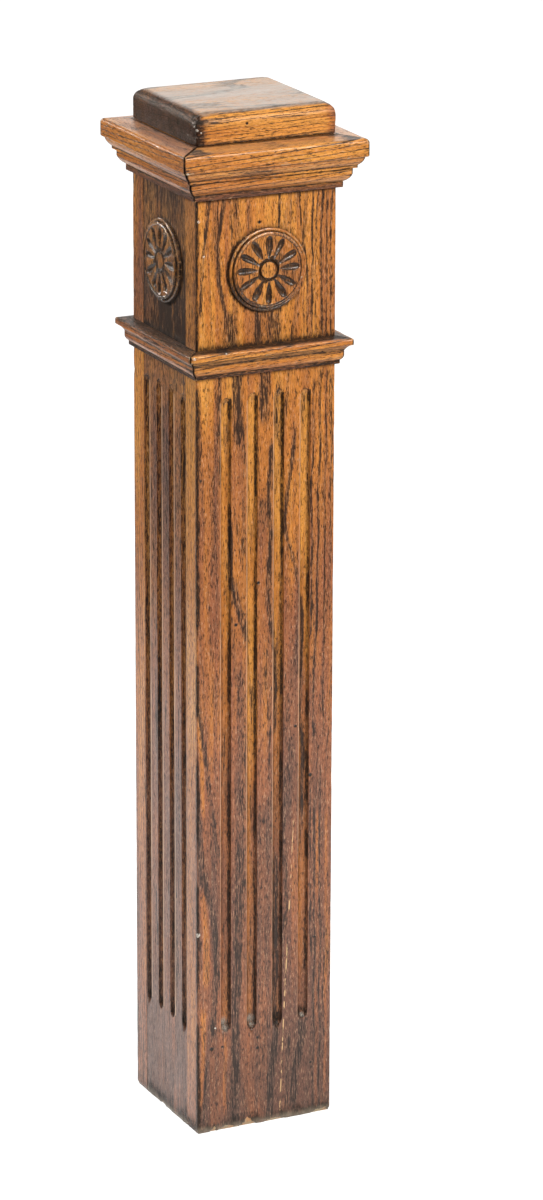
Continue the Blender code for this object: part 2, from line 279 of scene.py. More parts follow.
FLUTE_TOP = COLLAR_BOTTOM - FLUTE_HEAD_GAP
FIRST_FLUTE = -SIDE_HALF_WIDTH + FLUTE_SEAM_MARGIN + FLUTE_WIDTH / 2
FLUTE_PITCH = -2 * FIRST_FLUTE / (FLUTE_COUNT - 1)
FLUTE_CENTRES = [FIRST_FLUTE + FLUTE_PITCH * number for number in range(FLUTE_COUNT)]


def face_stations(half, radius, chips, count, corners):
    """Places across a board's face, closer over the flutes, the foot's chips and the seat's corners."""
    places = [-half + radius, half - radius, *corners]
    for middle, reach, _, _ in chips:
        places.extend(np.clip(middle + np.linspace(-1.2, 1.2, 15) * reach, -half + radius, half - radius))
    swing = np.sin(np.linspace(-math.pi / 2, math.pi / 2, 15))
    for centre in FLUTE_CENTRES:
        places.extend(centre + swing * FLUTE_WIDTH / 2)
        places.extend(centre + np.array((-0.62, -0.57, -0.53, 0.53, 0.58, 0.64, 0.71, 0.78)) * FLUTE_WIDTH)
    places.extend(np.linspace(-half + radius, half - radius, count)[1:-1])
    places = np.sort(np.array(places))
    kept = [places[0]]
    for place in places[1:-1]:
        if place - kept[-1] > 0.00012 and places[-1] - place > 0.0002:
            kept.append(place)
    kept.append(places[-1])
    return np.array(kept)


def seat_edges(size):
    """Where the walls of the handrail's seat start and end, from its middle."""
    walls = np.array((size / 2 - SEAT_WALL, size / 2 + SEAT_WALL))
    return np.concatenate((-walls[::-1], walls))


def over_flat(x, z):
    """Places on a board's flat face, for noise that doesn't change with depth."""
    return np.stack((x, np.zeros(x.shape), z), axis=-1)


def board_section(side):
    """The board's outline seen from above, as places across and in depth, with its outer face first."""
    full_width = side in FULL_WIDTH_SIDES
    half = HALF_WIDTH if full_width else SIDE_HALF_WIDTH
    radius = ARRIS_RADIUS if full_width else ARRIS_RADIUS / 4
    corners = seat_edges(RAIL_SEAT[0]) if side == RAIL_SIDE else ()
    across = face_stations(half, radius, FOOT_CHIPS.get(side, ()), 100 if side == "front" else 26, corners)
    face = np.stack((across, np.full(len(across), -HALF_WIDTH)), axis=1)
    angles = np.radians(np.linspace(-90, 0, 5)[1:])
    swing = np.stack((np.cos(angles), np.sin(angles)), axis=1)
    right = (half - radius, -HALF_WIDTH + radius) + radius * swing
    left = right[::-1] * (-1, 1)
    back = -HALF_WIDTH + BOARD_THICKNESS
    edge = np.linspace(-HALF_WIDTH + radius, back, 7)[1:]
    right_edge = np.stack((np.full(len(edge), half), edge), axis=1)
    left_edge = right_edge[::-1] * (-1, 1)
    inner = np.linspace(half, -half, 9)[1:-1]
    inner = np.stack((inner, np.full(len(inner), back)), axis=1)
    return np.concatenate((face, right, right_edge, inner, left_edge, left))


def board_heights(side):
    """Heights of the rings of a board, close together at the foot and at the flutes' ends."""
    step = 0.0045 if side == "front" else 0.0075
    parts = [
        np.linspace(0.0, 0.012, 13),
        np.arange(0.018, FLUTE_FOOT - 0.002, 0.006),
        FLUTE_FOOT + FLUTE_END_TAPER * (1 - np.cos(np.linspace(0, math.pi / 2, 14))) * 1.05,
        np.arange(FLUTE_FOOT + 0.018, FLUTE_TOP - 0.016, step),
        FLUTE_TOP - FLUTE_END_TAPER * (1 - np.cos(np.linspace(math.pi / 2, 0, 14))) * 1.05,
        np.arange(FLUTE_TOP + 0.005, COLLAR_TOP, 0.006),
        np.linspace(COLLAR_TOP, CORNICE_BOTTOM, 40),
        np.linspace(CORNICE_BOTTOM + 0.006, BOARD_TOP, 6),
    ]
    if side == RAIL_SIDE:
        parts.append(ROSETTE_HEIGHT + seat_edges(RAIL_SEAT[1]))
    return np.unique(np.round(np.concatenate(parts), 6))


def flute_depth(across, height, seed):
    """How deep the flutes are at each point, with tapered ends and a slightly uneven cut."""
    depth = np.zeros(across.shape)
    wander = np.stack((np.zeros(height.shape), np.zeros(height.shape), height), axis=-1)
    for number, centre in enumerate(FLUTE_CENTRES):
        foot = FLUTE_FOOT + 0.0022 * math.sin(number * 2.4 + seed)
        head = FLUTE_TOP - 0.0018 * (1 + math.sin(number * 1.7 + seed * 2.0))
        lower = np.clip((height - foot) / FLUTE_END_TAPER, 0, 1)
        upper = np.clip((head - height) / FLUTE_END_TAPER, 0, 1)
        fade = np.sqrt(np.clip(1 - (1 - lower) ** 2, 0, 1)) * np.sqrt(np.clip(1 - (1 - upper) ** 2, 0, 1))
        drift = (noise(wander, 0.09, seed * 31 + number) - 0.5) * 0.0006
        width = FLUTE_WIDTH / 2 * (0.94 + 0.06 * noise(wander, 0.05, seed * 37 + number))
        share = (across - centre - drift) / np.maximum(width * fade, 1e-6)
        cut = np.sqrt(np.clip(1 - share**2, 0, 1)) * FLUTE_DEPTH * fade
        depth = np.maximum(depth, np.where(fade > 0, cut, 0.0))
    return depth


# Pieces split off the foot of a board, as (place across the face, half width, height, depth)
FOOT_CHIPS = {
    "front": (
        (-0.0180, 0.0090, 0.0095, 0.0018),
        (-0.0400, 0.0120, 0.0050, 0.0010),
        (-0.0570, 0.0034, 0.0060, 0.0012),
        (0.0120, 0.0120, 0.0034, 0.0008),
        (0.0660, 0.0120, 0.0050, 0.0010),
    ),
    "right": ((0.0200, 0.0070, 0.0060, 0.0018),),
    "back": ((0.0380, 0.0080, 0.0050, 0.0018),),
    "left": ((-0.0120, 0.0060, 0.0040, 0.0014),),
}


# Bands and lines that the grain draws on the front board, in millimetres, as (half width, strength,
# places from low to high as (across, height)). The strength is below zero where the band is golden, not dark.
FRONT_BANDS = (
    (6.0, 0.80, (-33.5, 3), (-33, 45), (-34, 91), (-32, 148), (-31, 191), (-29, 226), (-27, 266), (-27, 310)),
    (5.5, 0.52, (-27, 300), (-26, 351), (-26, 430), (-27, 500)),
    (3.8, 0.75, (-58, 105), (-56, 150), (-55, 190), (-56, 225), (-59, 245), (-64, 262), (-70, 285),
     (-74, 345)),
    (2.8, 0.70, (-51.5, 300), (-57, 336), (-62, 371), (-65.5, 396), (-69, 421), (-73.5, 471)),
    (4.8, 0.85, (6, 3), (8, 40), (10, 75), (12, 100), (13, 130), (13, 290)),
    (5.5, 0.75, (33, 15), (36, 50), (41, 80), (43, 105)),
    (3.0, 0.50, (24, 205), (25, 245), (22, 300), (22, 350)),
    (2.6, 0.55, (26, 15), (27, 95)),
    (8.5, 0.32, (-2, 25), (-2, 340)),
    (1.6, 0.85, (-69, 12), (-66, 78)),
    (1.4, 0.85, (56, 0), (56.5, 120), (57, 345)),
    (1.4, 0.80, (63.5, 0), (63, 200), (62.5, 380)),
    (1.3, 0.70, (68, 15), (67.5, 190)),
    (1.3, 0.70, (52, 180), (52, 370)),
    (4.6, 0.90, (-21, 530), (-25, 548), (-31, 568), (-36, 592)),
    (2.2, 0.90, (-37, 585), (-38.5, 615), (-38.5, 655)),
    (3.1, 0.92, (13, 430), (14, 480), (12, 505), (6, 540), (3, 565), (4, 600), (5, 640), (4, 690), (5, 730)),
    (2.5, 0.80, (36, 585), (32, 605), (22, 635), (21, 650), (24, 670), (26, 690), (31, 740)),
    (7.0, 0.42, (25, 345), (26, 400), (22, 450), (19, 495)),
    (2.6, 0.95, (44, 325), (44, 395), (41, 440), (43, 480), (42, 565)),
    (1.6, 0.85, (54, 415), (55, 490), (58, 560), (59, 690), (60, 800)),
    (1.4, 0.80, (50.5, 525), (51.5, 600), (51, 690), (53, 795)),
    (1.3, 0.75, (66, 420), (66, 690), (67, 800)),
    (1.3, 0.65, (72, 550), (72, 690), (73, 800)),
    (4.5, 0.42, (-57, 600), (-56, 690), (-53, 760), (-52, 812)),
    (6.5, 0.85, (-29, 735), (-31, 770), (-32, 812)),
    (7.0, 0.80, (-1, 757), (-2, 812)),
    (2.4, 0.70, (-51, 700), (-51, 812)),
    (4.0, 0.80, (14, 735), (12, 765), (14, 792)),
    (1.9, 0.85, (-72, 870), (-69, 920), (-66, 945), (-62, 990)),
    (2.7, 0.92, (-38, 838), (-42, 865), (-48, 885), (-52, 905), (-53, 940), (-49, 965), (-47, 990)),
    (7.5, 0.85, (-38, 835), (-41, 868)),
    (4.0, 0.60, (-30, 945), (-33, 965), (-36, 990)),
    (1.5, 0.95, (14, 950), (13, 990)),
    (1.2, 0.75, (27, 945), (25, 990)),
    (1.2, 0.75, (41, 895), (40, 940), (36, 970), (33, 990)),
    (1.5, 0.85, (46, 836), (45, 900), (42, 930)),
    (1.4, 0.85, (50, 836), (51, 920), (50, 990)),
    (1.2, 0.70, (55, 836), (54, 900), (56, 990)),
    (1.6, 0.92, (62, 836), (60, 910), (61, 990)),
    (1.2, 0.70, (66, 836), (67, 930), (66, 990)),
    (1.4, 0.85, (71, 836), (71, 990)),
    (4.2, 0.80, (-9, 836), (-9, 868)),
    (9.0, 0.75, (8, 836), (8, 866)),
    (3.2, -0.42, (-71, 30), (-70, 90), (-68, 135)),
    (4.5, -0.42, (-67, 165), (-66, 215), (-70, 265)),
    (2.6, -0.38, (-69, 350), (-72, 410), (-75, 470)),
    (1.8, -0.28, (59.8, 5), (60, 330)),
    (2.0, -0.28, (70.5, 20), (70.5, 330)),
    (2.4, -0.35, (-44, 20), (-45, 100)),
)


def grain_bands(x, z, seed):
    """How far each point of the front board lies on its ragged dark bands, and on its golden ones."""
    spots = over_flat(x, z)
    sway = (noise(spots * (0, 0, 1), 0.045, seed + 60) - 0.5) * 0.0022
    fibres = 0.55 * noise(spots, (0.0020, 1.0, 0.034), seed + 61)
    fibres += 0.45 * noise(spots, (0.0034, 1.0, 0.011), seed + 62)
    dark, golden = np.zeros(x.shape), np.zeros(x.shape)
    for half_width, strength, *line in FRONT_BANDS:
        places, heights = np.array(line).T / 1000
        aside = abs(x - np.interp(z, heights, places) - sway) / (half_width / 1000)
        starts = ramp(heights[0] - 0.010, heights[0] + 0.006, z)
        band = ramp(1.25, 0.50, aside) * starts * ramp(heights[-1] + 0.010, heights[-1] - 0.006, z) * strength
        dark, golden = np.maximum(dark, band), np.minimum(golden, band)
    return np.clip(dark * (0.50 + 1.00 * fibres), 0, 1), golden


def board_mesh(side):
    """One board, with flutes, dents along its arrises and a worn foot."""
    seed = list(SIDES).index(side) + 1
    section = board_section(side)
    heights = board_heights(side)
    rows, columns = len(heights), len(section)
    x = np.broadcast_to(section[:, 0], (rows, columns)).copy()
    y = np.broadcast_to(section[:, 1], (rows, columns)).copy()
    z = np.broadcast_to(heights[:, None], (rows, columns)).copy()
    half = abs(section[:, 0]).max()
    on_face = section[:, 1] <= -HALF_WIDTH + 1e-6
    spots = np.stack((x, y, z), axis=-1)

    flutes = np.where(on_face, flute_depth(x, z, seed), 0.0)
    flutes = np.where(z < COLLAR_BOTTOM, flutes, 0.0)
    y += flutes

    # Planed face: long shallow waves, deeper near the foot where it has been knocked
    waves = noise(spots, (0.05, 1.0, 0.30), seed + 3) * 0.00016
    y += waves * on_face

    # Arrises rubbed and dented along the vertical edges
    near_edge = ramp(0.004, 0.0, half - abs(x)) * ramp(0.006, 0.0, y + HALF_WIDTH)
    dents = ramp(0.60, 0.95, noise(spots, (0.02, 0.02, 0.011), seed + 11))
    dents += 0.7 * ramp(0.72, 0.95, noise(spots, (0.02, 0.02, 0.034), seed + 12))
    bruise = near_edge * dents * (0.00024 if side in FULL_WIDTH_SIDES else 0.0001)
    x -= np.sign(x) * bruise
    y += bruise

    # Foot: its edge is rounded and chipped
    outward = np.where(on_face, 1.0, ramp(0.012, 0.0, y + HALF_WIDTH))
    ragged = noise(spots, (0.010, 0.010, 0.006), seed + 21)
    ragged_fine = noise(spots, (0.0035, 0.0035, 0.003), seed + 22)
    foot_height = 0.0022 + 0.0042 * ragged
    foot = ramp(foot_height, 0.0, z) * (0.0007 + 0.0009 * ragged + 0.0004 * ragged_fine)
    y += foot * outward
    if side in FULL_WIDTH_SIDES:
        x -= np.sign(x) * foot * ramp(half - 0.002, half, abs(x)) * (y < 0)
    split = np.zeros(x.shape)
    for middle, reach, rise, deep in FOOT_CHIPS.get(side, ()):
        uneven = 0.7 * noise(spots, (0.0028, 1.0, 0.0022), seed + 23) - 0.2
        inside = ramp(0.0, 0.30, 1 - abs((x - middle) / reach) ** 1.4 - z / rise + uneven) * (z < 1.3 * rise)
        chip = inside * on_face
        y += chip * deep * np.clip(1.15 - z / rise, 0.3, 1.0)
        split = np.maximum(split, chip)

    seat = np.zeros(x.shape)
    if side == RAIL_SIDE:
        seat = seat + on_face
        for size, aside in zip(RAIL_SEAT, (abs(x), abs(z - ROSETTE_HEIGHT))):
            seat *= ramp(size / 2 + SEAT_WALL, size / 2 - SEAT_WALL, aside)
        y += seat * RAIL_SEAT[2]

    grime_and_shade = board_grime_and_shade(x, y, z, flutes, on_face, side, seed)
    tint = board_tint(y, z, flutes, on_face, side)
    wear_and_highlight = np.clip(near_edge * dents * 0.75, 0, 1) + 0.8 * ramp(0.35, 0.85, foot / 0.0022)
    wear_and_highlight = np.clip(np.maximum(wear_and_highlight, split) - grime_and_shade * near_edge, 0, 1)

    # Painted highlight: one arris of each flute, the one the light falls on, is painted pale: the left one,
    # and on the left board the right one
    fluted = on_face & (z > FLUTE_FOOT + 0.006) & (z < FLUTE_TOP - 0.008)
    patches = noise(spots, (0.02, 1.0, 0.040), seed + 24)
    lit_arris, spread = (1.26, 0.28) if side == "left" else (-1.07, 0.14)
    share = np.min([abs((x - centre) / (FLUTE_WIDTH / 2) - lit_arris) for centre in FLUTE_CENTRES], axis=0)
    strength = 0.85 if side == "left" else 0.20 + 0.45 * ramp(0.20, 0.40, z)
    pale = np.where(fluted, ramp(spread, spread * 0.3, share), 0.0) * strength * (0.5 + 0.7 * patches)
    dusty = ramp(0.0070 + 0.0050 * ragged, 0.0020, z) * outward * (0.35 + 0.65 * ragged_fine)
    above = ramp(COLLAR_TOP - 0.002, COLLAR_TOP, z)
    if side == "front":
        dark, golden = grain_bands(x, z, seed)
        dense = np.where(on_face, dark, 0.12 + 0.30 * above)
        tint = tint + golden * on_face
    elif side == "left":
        fibres = noise(spots, (1.0, 0.004, 0.05), seed + 63) * noise(spots, (0.004, 1.0, 0.05), seed + 64)
        dense = np.where(on_face, 0.06 + 0.52 * ramp(0.40, 0.68, z) + 1.2 * above * fibres, 0.0)
    else:
        dense = np.where(on_face, 0.0, 0.40 * above)
    points = turned(np.stack((x, y, z), axis=-1), SIDES[side])
    marks = {"grime_and_shade": grime_and_shade, "wear_and_highlight": wear_and_highlight, "bare": seat, "tint": tint}
    marks.update(dense=dense, pale=pale, dusty=dusty)
    return tube_mesh(f"{side}_board", points, marks)


def board_tint(y, z, flutes, on_face, side):
    """How much darker than the rest, or more golden if below zero, the stain is on parts of a board."""
    low = ramp(0.75, 0.20, z)
    tint = (-0.36 + 0.12 * low) * np.clip(flutes / FLUTE_DEPTH * 1.5, 0, 1)
    edge = np.where(on_face, 0.0, ramp(0.0004, 0.0030, y + HALF_WIDTH))
    below_collar = ramp(COLLAR_TOP, COLLAR_BOTTOM, z)
    if side in FULL_WIDTH_SIDES:
        tint = tint - edge * (0.38 * below_collar - 0.02)
    if side == "left":
        tint = tint + (0.16 * ramp(0.90, 0.85, z) - 0.12) * (1 - below_collar)
    glow = ramp(COLLAR_BOTTOM - 0.07, COLLAR_BOTTOM - 0.02, z) * ramp(COLLAR_TOP + 0.02, COLLAR_TOP, z)
    middle = ramp(0.74, 0.66, z) * ramp(0.20, 0.34, z) * (flutes <= 0) * on_face
    return tint + 0.16 * ramp(0.15, 0.03, z) - 0.14 * glow * on_face + 0.07 * middle


def board_grime_and_shade(x, y, z, flutes, on_face, side, seed):
    """Where dirt and dark stain have gathered on a board, with painted shade in its flutes and round its
    rosette.
    """
    spots = over_flat(x, z)
    broken = noise(spots, (0.004, 1.0, 0.030), seed + 41)
    shaded = side == "left"
    # Painted shade in the flutes: a painted shadow on each right wall, a thin dark line inside each left
    # arris, and dirt with painted shade on the floors; on the left board it grows towards the foot
    flute_floor_dirt_and_shade = 0.10 + 0.30 * ramp(0.78, 0.50, z) if shaded else 0.08 + 0.10 * ramp(0.70, 0.25, z)
    grime_and_shade = np.zeros(x.shape)
    for centre in FLUTE_CENTRES:
        share = (x - centre) / (FLUTE_WIDTH / 2)
        flute_shade_and_dirt = np.exp(-(((share - 0.76) / 0.22) ** 2)) * (0.50 + 0.8 * ramp(0.25, 0.75, broken))
        flute_shade_and_dirt = np.maximum(flute_shade_and_dirt, np.exp(-(((share + 0.84) / 0.12) ** 2)) * (0.40 + 0.7 * broken))
        flute_shade_and_dirt = np.maximum(flute_shade_and_dirt, flute_floor_dirt_and_shade * (0.5 + broken) * (abs(share) < 0.95))
        flute_shade_and_dirt = flute_shade_and_dirt * (0.04 + 0.96 * ramp(0.70, 0.42, z)) if shaded else flute_shade_and_dirt
        beside = (abs(share) < 0.995) & (z > FLUTE_FOOT + 0.004) & (z < FLUTE_TOP - 0.004)
        grime_and_shade = np.maximum(grime_and_shade, flute_shade_and_dirt * beside)
    cut = flutes > 0.0002
    foot_end = ramp(0.016, 0.0, abs(z - FLUTE_FOOT - 0.006)) * cut
    head_line = ramp(0.0022, 0.0009, flutes) * ramp(0.012, 0.006, abs(z - FLUTE_TOP + 0.006)) * cut
    grime_and_shade = np.maximum(grime_and_shade, 0.85 * foot_end + 0.70 * head_line)
    lines = ramp(0.0065, 0.0, z - COLLAR_TOP) * (z >= COLLAR_TOP - 0.001)
    for strength, edge in ((0.8, CORNICE_BOTTOM), (0.7, COLLAR_BOTTOM)):
        lines = lines + strength * ramp(0.003, 0.0, edge - z) * (z <= edge + 0.001)
    grime_and_shade = np.maximum(grime_and_shade, on_face * lines)
    if side in FULL_WIDTH_SIDES:
        zones = ramp(0.085, 0.045, z) + ramp(0.53, 0.58, z) * ramp(0.70, 0.66, z)
        uneven = noise(spots, (0.05, 1.0, 0.026), seed + 43)
        width = 0.0014 + 0.0052 * uneven * (0.55 + 0.45 * zones)
        arris = ramp(width, width * 0.55, x + HALF_WIDTH) * ramp(0.0034, 0.0018, y + HALF_WIDTH)
        arris *= ramp(0.20, 0.45, uneven + 0.3 * zones)
        grime_and_shade = np.maximum(grime_and_shade, arris * 0.95)
    if side in ROSETTE_SIDES:
        # A dark joint round the rosette, with a painted shadow heavier on its lower left
        reach = np.hypot(x, z - ROSETTE_HEIGHT) - ROSETTE_RADIUS
        ring = ramp(0.0032, 0.0004, reach)
        low_side_shadow = 0.65 + 0.5 * ramp(0.02, -0.03, x + (z - ROSETTE_HEIGHT))
        grime_and_shade = np.maximum(grime_and_shade, on_face * ring * low_side_shadow)
    if side == "left":
        sooty = noise(spots, (0.010, 1.0, 0.030), seed + 44)
        low_block = ramp(0.90, 0.84, z)
        soot = (0.04 + 0.38 * sooty**2) * (0.80 + 0.20 * low_block)
        grime_and_shade = np.maximum(grime_and_shade, on_face * (z > COLLAR_TOP) * soot)
    if side == RAIL_SIDE:
        inset = np.maximum(abs(x) - RAIL_SEAT[0] / 2, abs(z - ROSETTE_HEIGHT) - RAIL_SEAT[1] / 2)
        seat_edge = ramp(0.0040, 0.0003, abs(inset)) * (0.35 + 0.75 * broken)
        grime_and_shade = np.maximum(grime_and_shade, on_face * (seat_edge + 0.22 * (inset < 0) * broken))
    ragged = noise(spots, (0.012, 1.0, 0.008), seed + 45)
    reach = 0.014 + 0.014 * ragged + (0.006 if side == "left" else 0.0)
    grime_and_shade = np.maximum(grime_and_shade, 0.72 * ramp(reach, 0.002, z) * (0.5 + broken))
    grime_and_shade = np.maximum(grime_and_shade, 0.16 * ramp(0.13, 0.05, z) * on_face * (side == "front"))
    return np.clip(grime_and_shade, 0, 1)


# Mouldings


def moulding_mesh(side, kind):
    """A mitred length of the collar or the cornice, its mitres opened a little at the near corner."""
    collar = kind == "collar"
    seed = list(SIDES).index(side) * 7 + (1 if collar else 3)
    outline = resampled(collar_outline() if collar else cornice_outline(), 0.0011)
    bottom = COLLAR_BOTTOM if collar else CORNICE_BOTTOM
    top = COLLAR_TOP if collar else CORNICE_TOP
    reach, rise = outline[:, 0], outline[:, 1]
    share = np.sin(np.linspace(-math.pi / 2, math.pi / 2, 25)) * 0.06
    share = np.unique(
        np.round(np.concatenate((np.linspace(-0.94, 0.94, 90), -1 + abs(share), 1 - abs(share))), 5)
    )
    rows, columns = len(share), len(outline)
    spots = np.stack(
        np.broadcast_arrays(share[:, None] * HALF_WIDTH, reach[None, :], rise[None, :] + bottom), axis=-1
    )
    front = reach > JOINT_GAP * 2
    crease = np.clip(concavity(outline, 0.0017) * 5.0, 0, 1)
    ridge = np.clip(-concavity(outline, 0.0016) * 3.2, 0, 1)

    # Edges rubbed down in places, and small knocks
    patches = ramp(0.45, 0.85, noise(spots, (0.012, 0.02, 0.02), seed + 50))
    knocks = ramp(0.80, 0.95, noise(spots, (0.005, 0.006, 0.006), seed + 51))
    inset = (patches * 0.00030 + knocks * 0.00055) * ridge
    waves = noise(spots, (0.06, 0.05, 0.05), seed + 52) * 0.00018
    out = np.where(front, reach - inset - waves, reach)
    up = np.broadcast_to(rise, (rows, columns)) - inset * 0.6 * (rise > (top - bottom) * 0.6)

    # The mitres: the setback that the solids keep, and a wider gap where the near corner has opened
    setback = JOINT_GAP / math.sqrt(2)
    opened = 0.00085 + 0.0004 * np.sin(rise / (top - bottom) * 9.0 + seed)
    low_extra = opened if side == "front" else 0.0001
    high_extra = opened if side == "left" else 0.0001
    length = HALF_WIDTH + reach - setback
    chipped = noise(np.stack((reach, rise, rise * 0), axis=-1), 0.0028, seed + 53)
    chip = ramp(0.62, 0.9, chipped) * 0.0013 * ridge
    low_end = length - low_extra - (chip if side == "front" else chip * 0.2)
    high_end = length - high_extra - (chip if side == "left" else chip * 0.2)
    x = np.where(share[:, None] < 0, share[:, None] * low_end[None, :], share[:, None] * high_end[None, :])
    points = np.stack((x, -HALF_WIDTH - out, up + bottom), axis=-1)

    ledge = ramp(top - bottom - 0.0022, top - bottom - 0.0004, rise)
    junction = ledge * (ramp(0.0138, 0.0090, reach) if collar else ramp(0.0036, 0.0010, reach))
    to_end = np.minimum(1 + share[:, None], 1 - share[:, None]) * (HALF_WIDTH + reach[None, :])
    mitre = ramp(0.0016, 0.0001, to_end)
    broken = noise(spots, (0.011, 0.004, 0.004), seed + 54)
    # Dirt and painted shade in the creases of the profile
    grime_and_shade = crease[None, :] * (0.50 + 0.9 * broken)
    grime_and_shade = np.maximum(grime_and_shade, junction[None, :] * (0.85 + 0.6 * broken))
    near_mitre = 1.0 if side in ("front", "left") else 0.6
    grime_and_shade = np.maximum(grime_and_shade, mitre * near_mitre)
    streaked = noise(spots, (0.060, 0.004, 0.0022), seed + 55)
    foot_fillet = ramp(0.0052, 0.0036, rise) * (0.34 + (0.66 if collar else 0.15) * streaked)
    grime_and_shade = np.maximum(grime_and_shade, foot_fillet)
    if side == "left":
        upper = ramp(top - bottom - (0.0072 if collar else 0.0005), top - bottom, rise)
        grime_and_shade = np.maximum(grime_and_shade, (0.74 if collar else 0.16) * upper * (0.5 + streaked))
    wear_and_highlight = ridge[None, :] * (patches * 0.55 + knocks)
    wear_and_highlight = np.maximum(wear_and_highlight, ramp(0.004, 0.0005, to_end) * ridge[None, :] * 0.9)
    tint = np.broadcast_to(0.55 * ramp(0.0075, 0.0, rise), grime_and_shade.shape)
    points = turned(points, SIDES[side])
    marks = {"grime_and_shade": np.clip(grime_and_shade, 0, 1), "wear_and_highlight": np.clip(wear_and_highlight, 0, 1), "tint": tint}
    return tube_mesh(f"{side}_{kind}", points, marks)


# Cap


def rounded_square(half, radius, per_side=44, per_corner=7):
    """Points round a square with rounded corners, and how near each is to a corner."""
    points, corners = [], []
    for number in range(4):
        straight = np.linspace(-half + radius, half - radius, per_side)
        angles = np.radians(np.linspace(-90, 0, per_corner + 1)[1:-1])
        side_x = np.concatenate((straight, half - radius + radius * np.cos(angles)))
        side_y = np.concatenate((np.full(per_side, -half), -half + radius + radius * np.sin(angles)))
        points.append(turned(np.stack((side_x, side_y, side_x * 0), axis=1), 90 * number)[:, :2])
        corners.append(ramp(0.012, 0.0, half - abs(side_x)))
    return np.concatenate(points), np.concatenate(corners)


def cap_mesh():
    """The cap: a square block whose upper edges are rounded over, worn and chipped at the near corner."""
    bottom, top = CAP_LOW[2], CAP_HIGH[2]
    radius = CAP_EDGE_RADIUS
    levels = [(bottom + 0.0003, 0.0004), (bottom + 0.0007, 0.0)]
    levels = [(bottom, 0.0006)] + levels
    for height in np.linspace(bottom + 0.002, top - radius, 12):
        levels.append((height, 0.0))
    for angle in np.radians(np.linspace(0, 90, 15)[1:]):
        levels.append((top - radius + radius * math.sin(angle), radius - radius * math.cos(angle)))
    rings, grimes, wears = [], [], []
    for height, inset in levels:
        points, corners = rounded_square(HALF_WIDTH - inset, 0.0022 + inset * 0.35)
        rings.append(np.column_stack((points, np.full(len(points), height))))
        grimes.append(np.full(len(points), ramp(0.004, 0.0004, height - bottom)))
        wears.append(corners)
    for share in (0.96, 0.9, 0.8, 0.68, 0.54, 0.40, 0.26, 0.13, 0.05):
        points, corners = rounded_square((HALF_WIDTH - radius) * share, 0.004 * share)
        rings.append(np.column_stack((points, np.full(len(points), top))))
        grimes.append(np.zeros(len(points)))
        wears.append(np.zeros(len(points)))
    points = np.array(rings)
    grime_and_shade = np.array(grimes)
    corner = np.array(wears)

    # Soft unevenness of a hand-rubbed block, and sharper chips at its corners
    height_share = ramp(top - radius * 1.4, top - radius * 0.2, points[..., 2])
    waves = noise(points, (0.05, 0.05, 0.03), 71) * 0.0004
    near = ramp(0.030, 0.004, np.hypot(points[..., 0] + HALF_WIDTH, points[..., 1] + HALF_WIDTH))
    chips = ramp(0.44, 0.78, noise(points, (0.0042, 0.0042, 0.0034), 72))
    chips_fine = ramp(0.5, 0.8, noise(points, (0.0018, 0.0018, 0.0018), 73))
    chip = (0.0013 * chips + 0.0007 * chips_fine) * np.clip(0.25 * corner + near * (0.3 + corner), 0, 1)
    edge_dents = ramp(0.78, 0.95, noise(points, (0.007, 0.007, 0.005), 74)) * height_share
    radial = points[..., :2] / np.maximum(np.abs(points[..., :2]).max(axis=-1, keepdims=True), 1e-6)
    flat_top = points[..., 2] > top - 1e-6
    shrink = (waves + chip + edge_dents * 0.0005) * ~flat_top
    points[..., :2] -= radial * shrink[..., None]
    points[..., 2] -= (waves * 0.6 + chip * 0.6 + edge_dents * 0.0003) * (points[..., 2] > bottom + 0.004)
    upper_corner = ramp(bottom + 0.012, bottom + 0.024, points[..., 2])
    wear_and_highlight = np.clip(chip / 0.0016, 0, 1) * (0.10 + 0.62 * upper_corner) + edge_dents * 0.35

    # End grain drinks more stain, and the left end has gathered dirt
    end_grain = ramp(0.013, 0.003, HALF_WIDTH - abs(points[..., 0]))
    left_dirt = end_grain * (points[..., 0] < 0)
    patchy = noise(points, (0.02, 0.012, 0.012), 75)
    mottled = noise(points, (0.008, 0.006, 0.004), 76)
    low_corner = ramp(0.02, -0.06, points[..., 1]) * (1 - height_share)
    grime_and_shade = np.maximum(grime_and_shade, left_dirt * (0.50 + 0.30 * patchy + 0.34 * mottled + 0.34 * low_corner))
    grime_and_shade = np.maximum(grime_and_shade, near * corner * (1 - upper_corner) * 0.9)
    brow = ramp(0.6, 0.85, height_share) * ramp(0.004, 0.009, HALF_WIDTH - abs(points[..., 1]))
    brow *= ramp(0.016, 0.011, HALF_WIDTH - abs(points[..., 1]))
    grime_and_shade = np.maximum(grime_and_shade, brow * (0.25 + 0.45 * patchy))
    marks = {"grime_and_shade": np.clip(grime_and_shade, 0, 1), "wear_and_highlight": np.clip(wear_and_highlight, 0, 1), "tint": end_grain * 0.50 - 0.16}
    return tube_mesh("oak_cap", points, marks)


# Rosettes


def rosette_profile(radius):
    """Height of the turned form above the board at each radius, before the gouges."""
    height = np.full(radius.shape, ROSETTE_FACE)
    for outer, (width, crown) in (
        (ROSETTE_RADIUS, OUTER_BEAD),
        (ROSETTE_RADIUS - OUTER_BEAD[0], INNER_BEAD),
    ):
        share = (radius - outer + width / 2) / (width / 2)
        root = crown - width / 2
        bead = root + (crown - root) * np.sqrt(np.clip(1 - share**2, 0, 1))
        height = np.where(abs(share) <= 1.0001, bead, height)
    ring_middle = BUTTON_RADIUS + RING_WIDTH / 2
    ring = np.clip(1 - (abs(radius - ring_middle) / (RING_WIDTH / 2)) ** 1.6, 0, 1)
    height = height - RING_DEPTH * ring
    crown = 0.0003 * (1 - np.clip(radius / BUTTON_RADIUS, 0, 1) ** 2)
    return np.where(radius < FACE_RADIUS, height - 0.0003, height) + crown


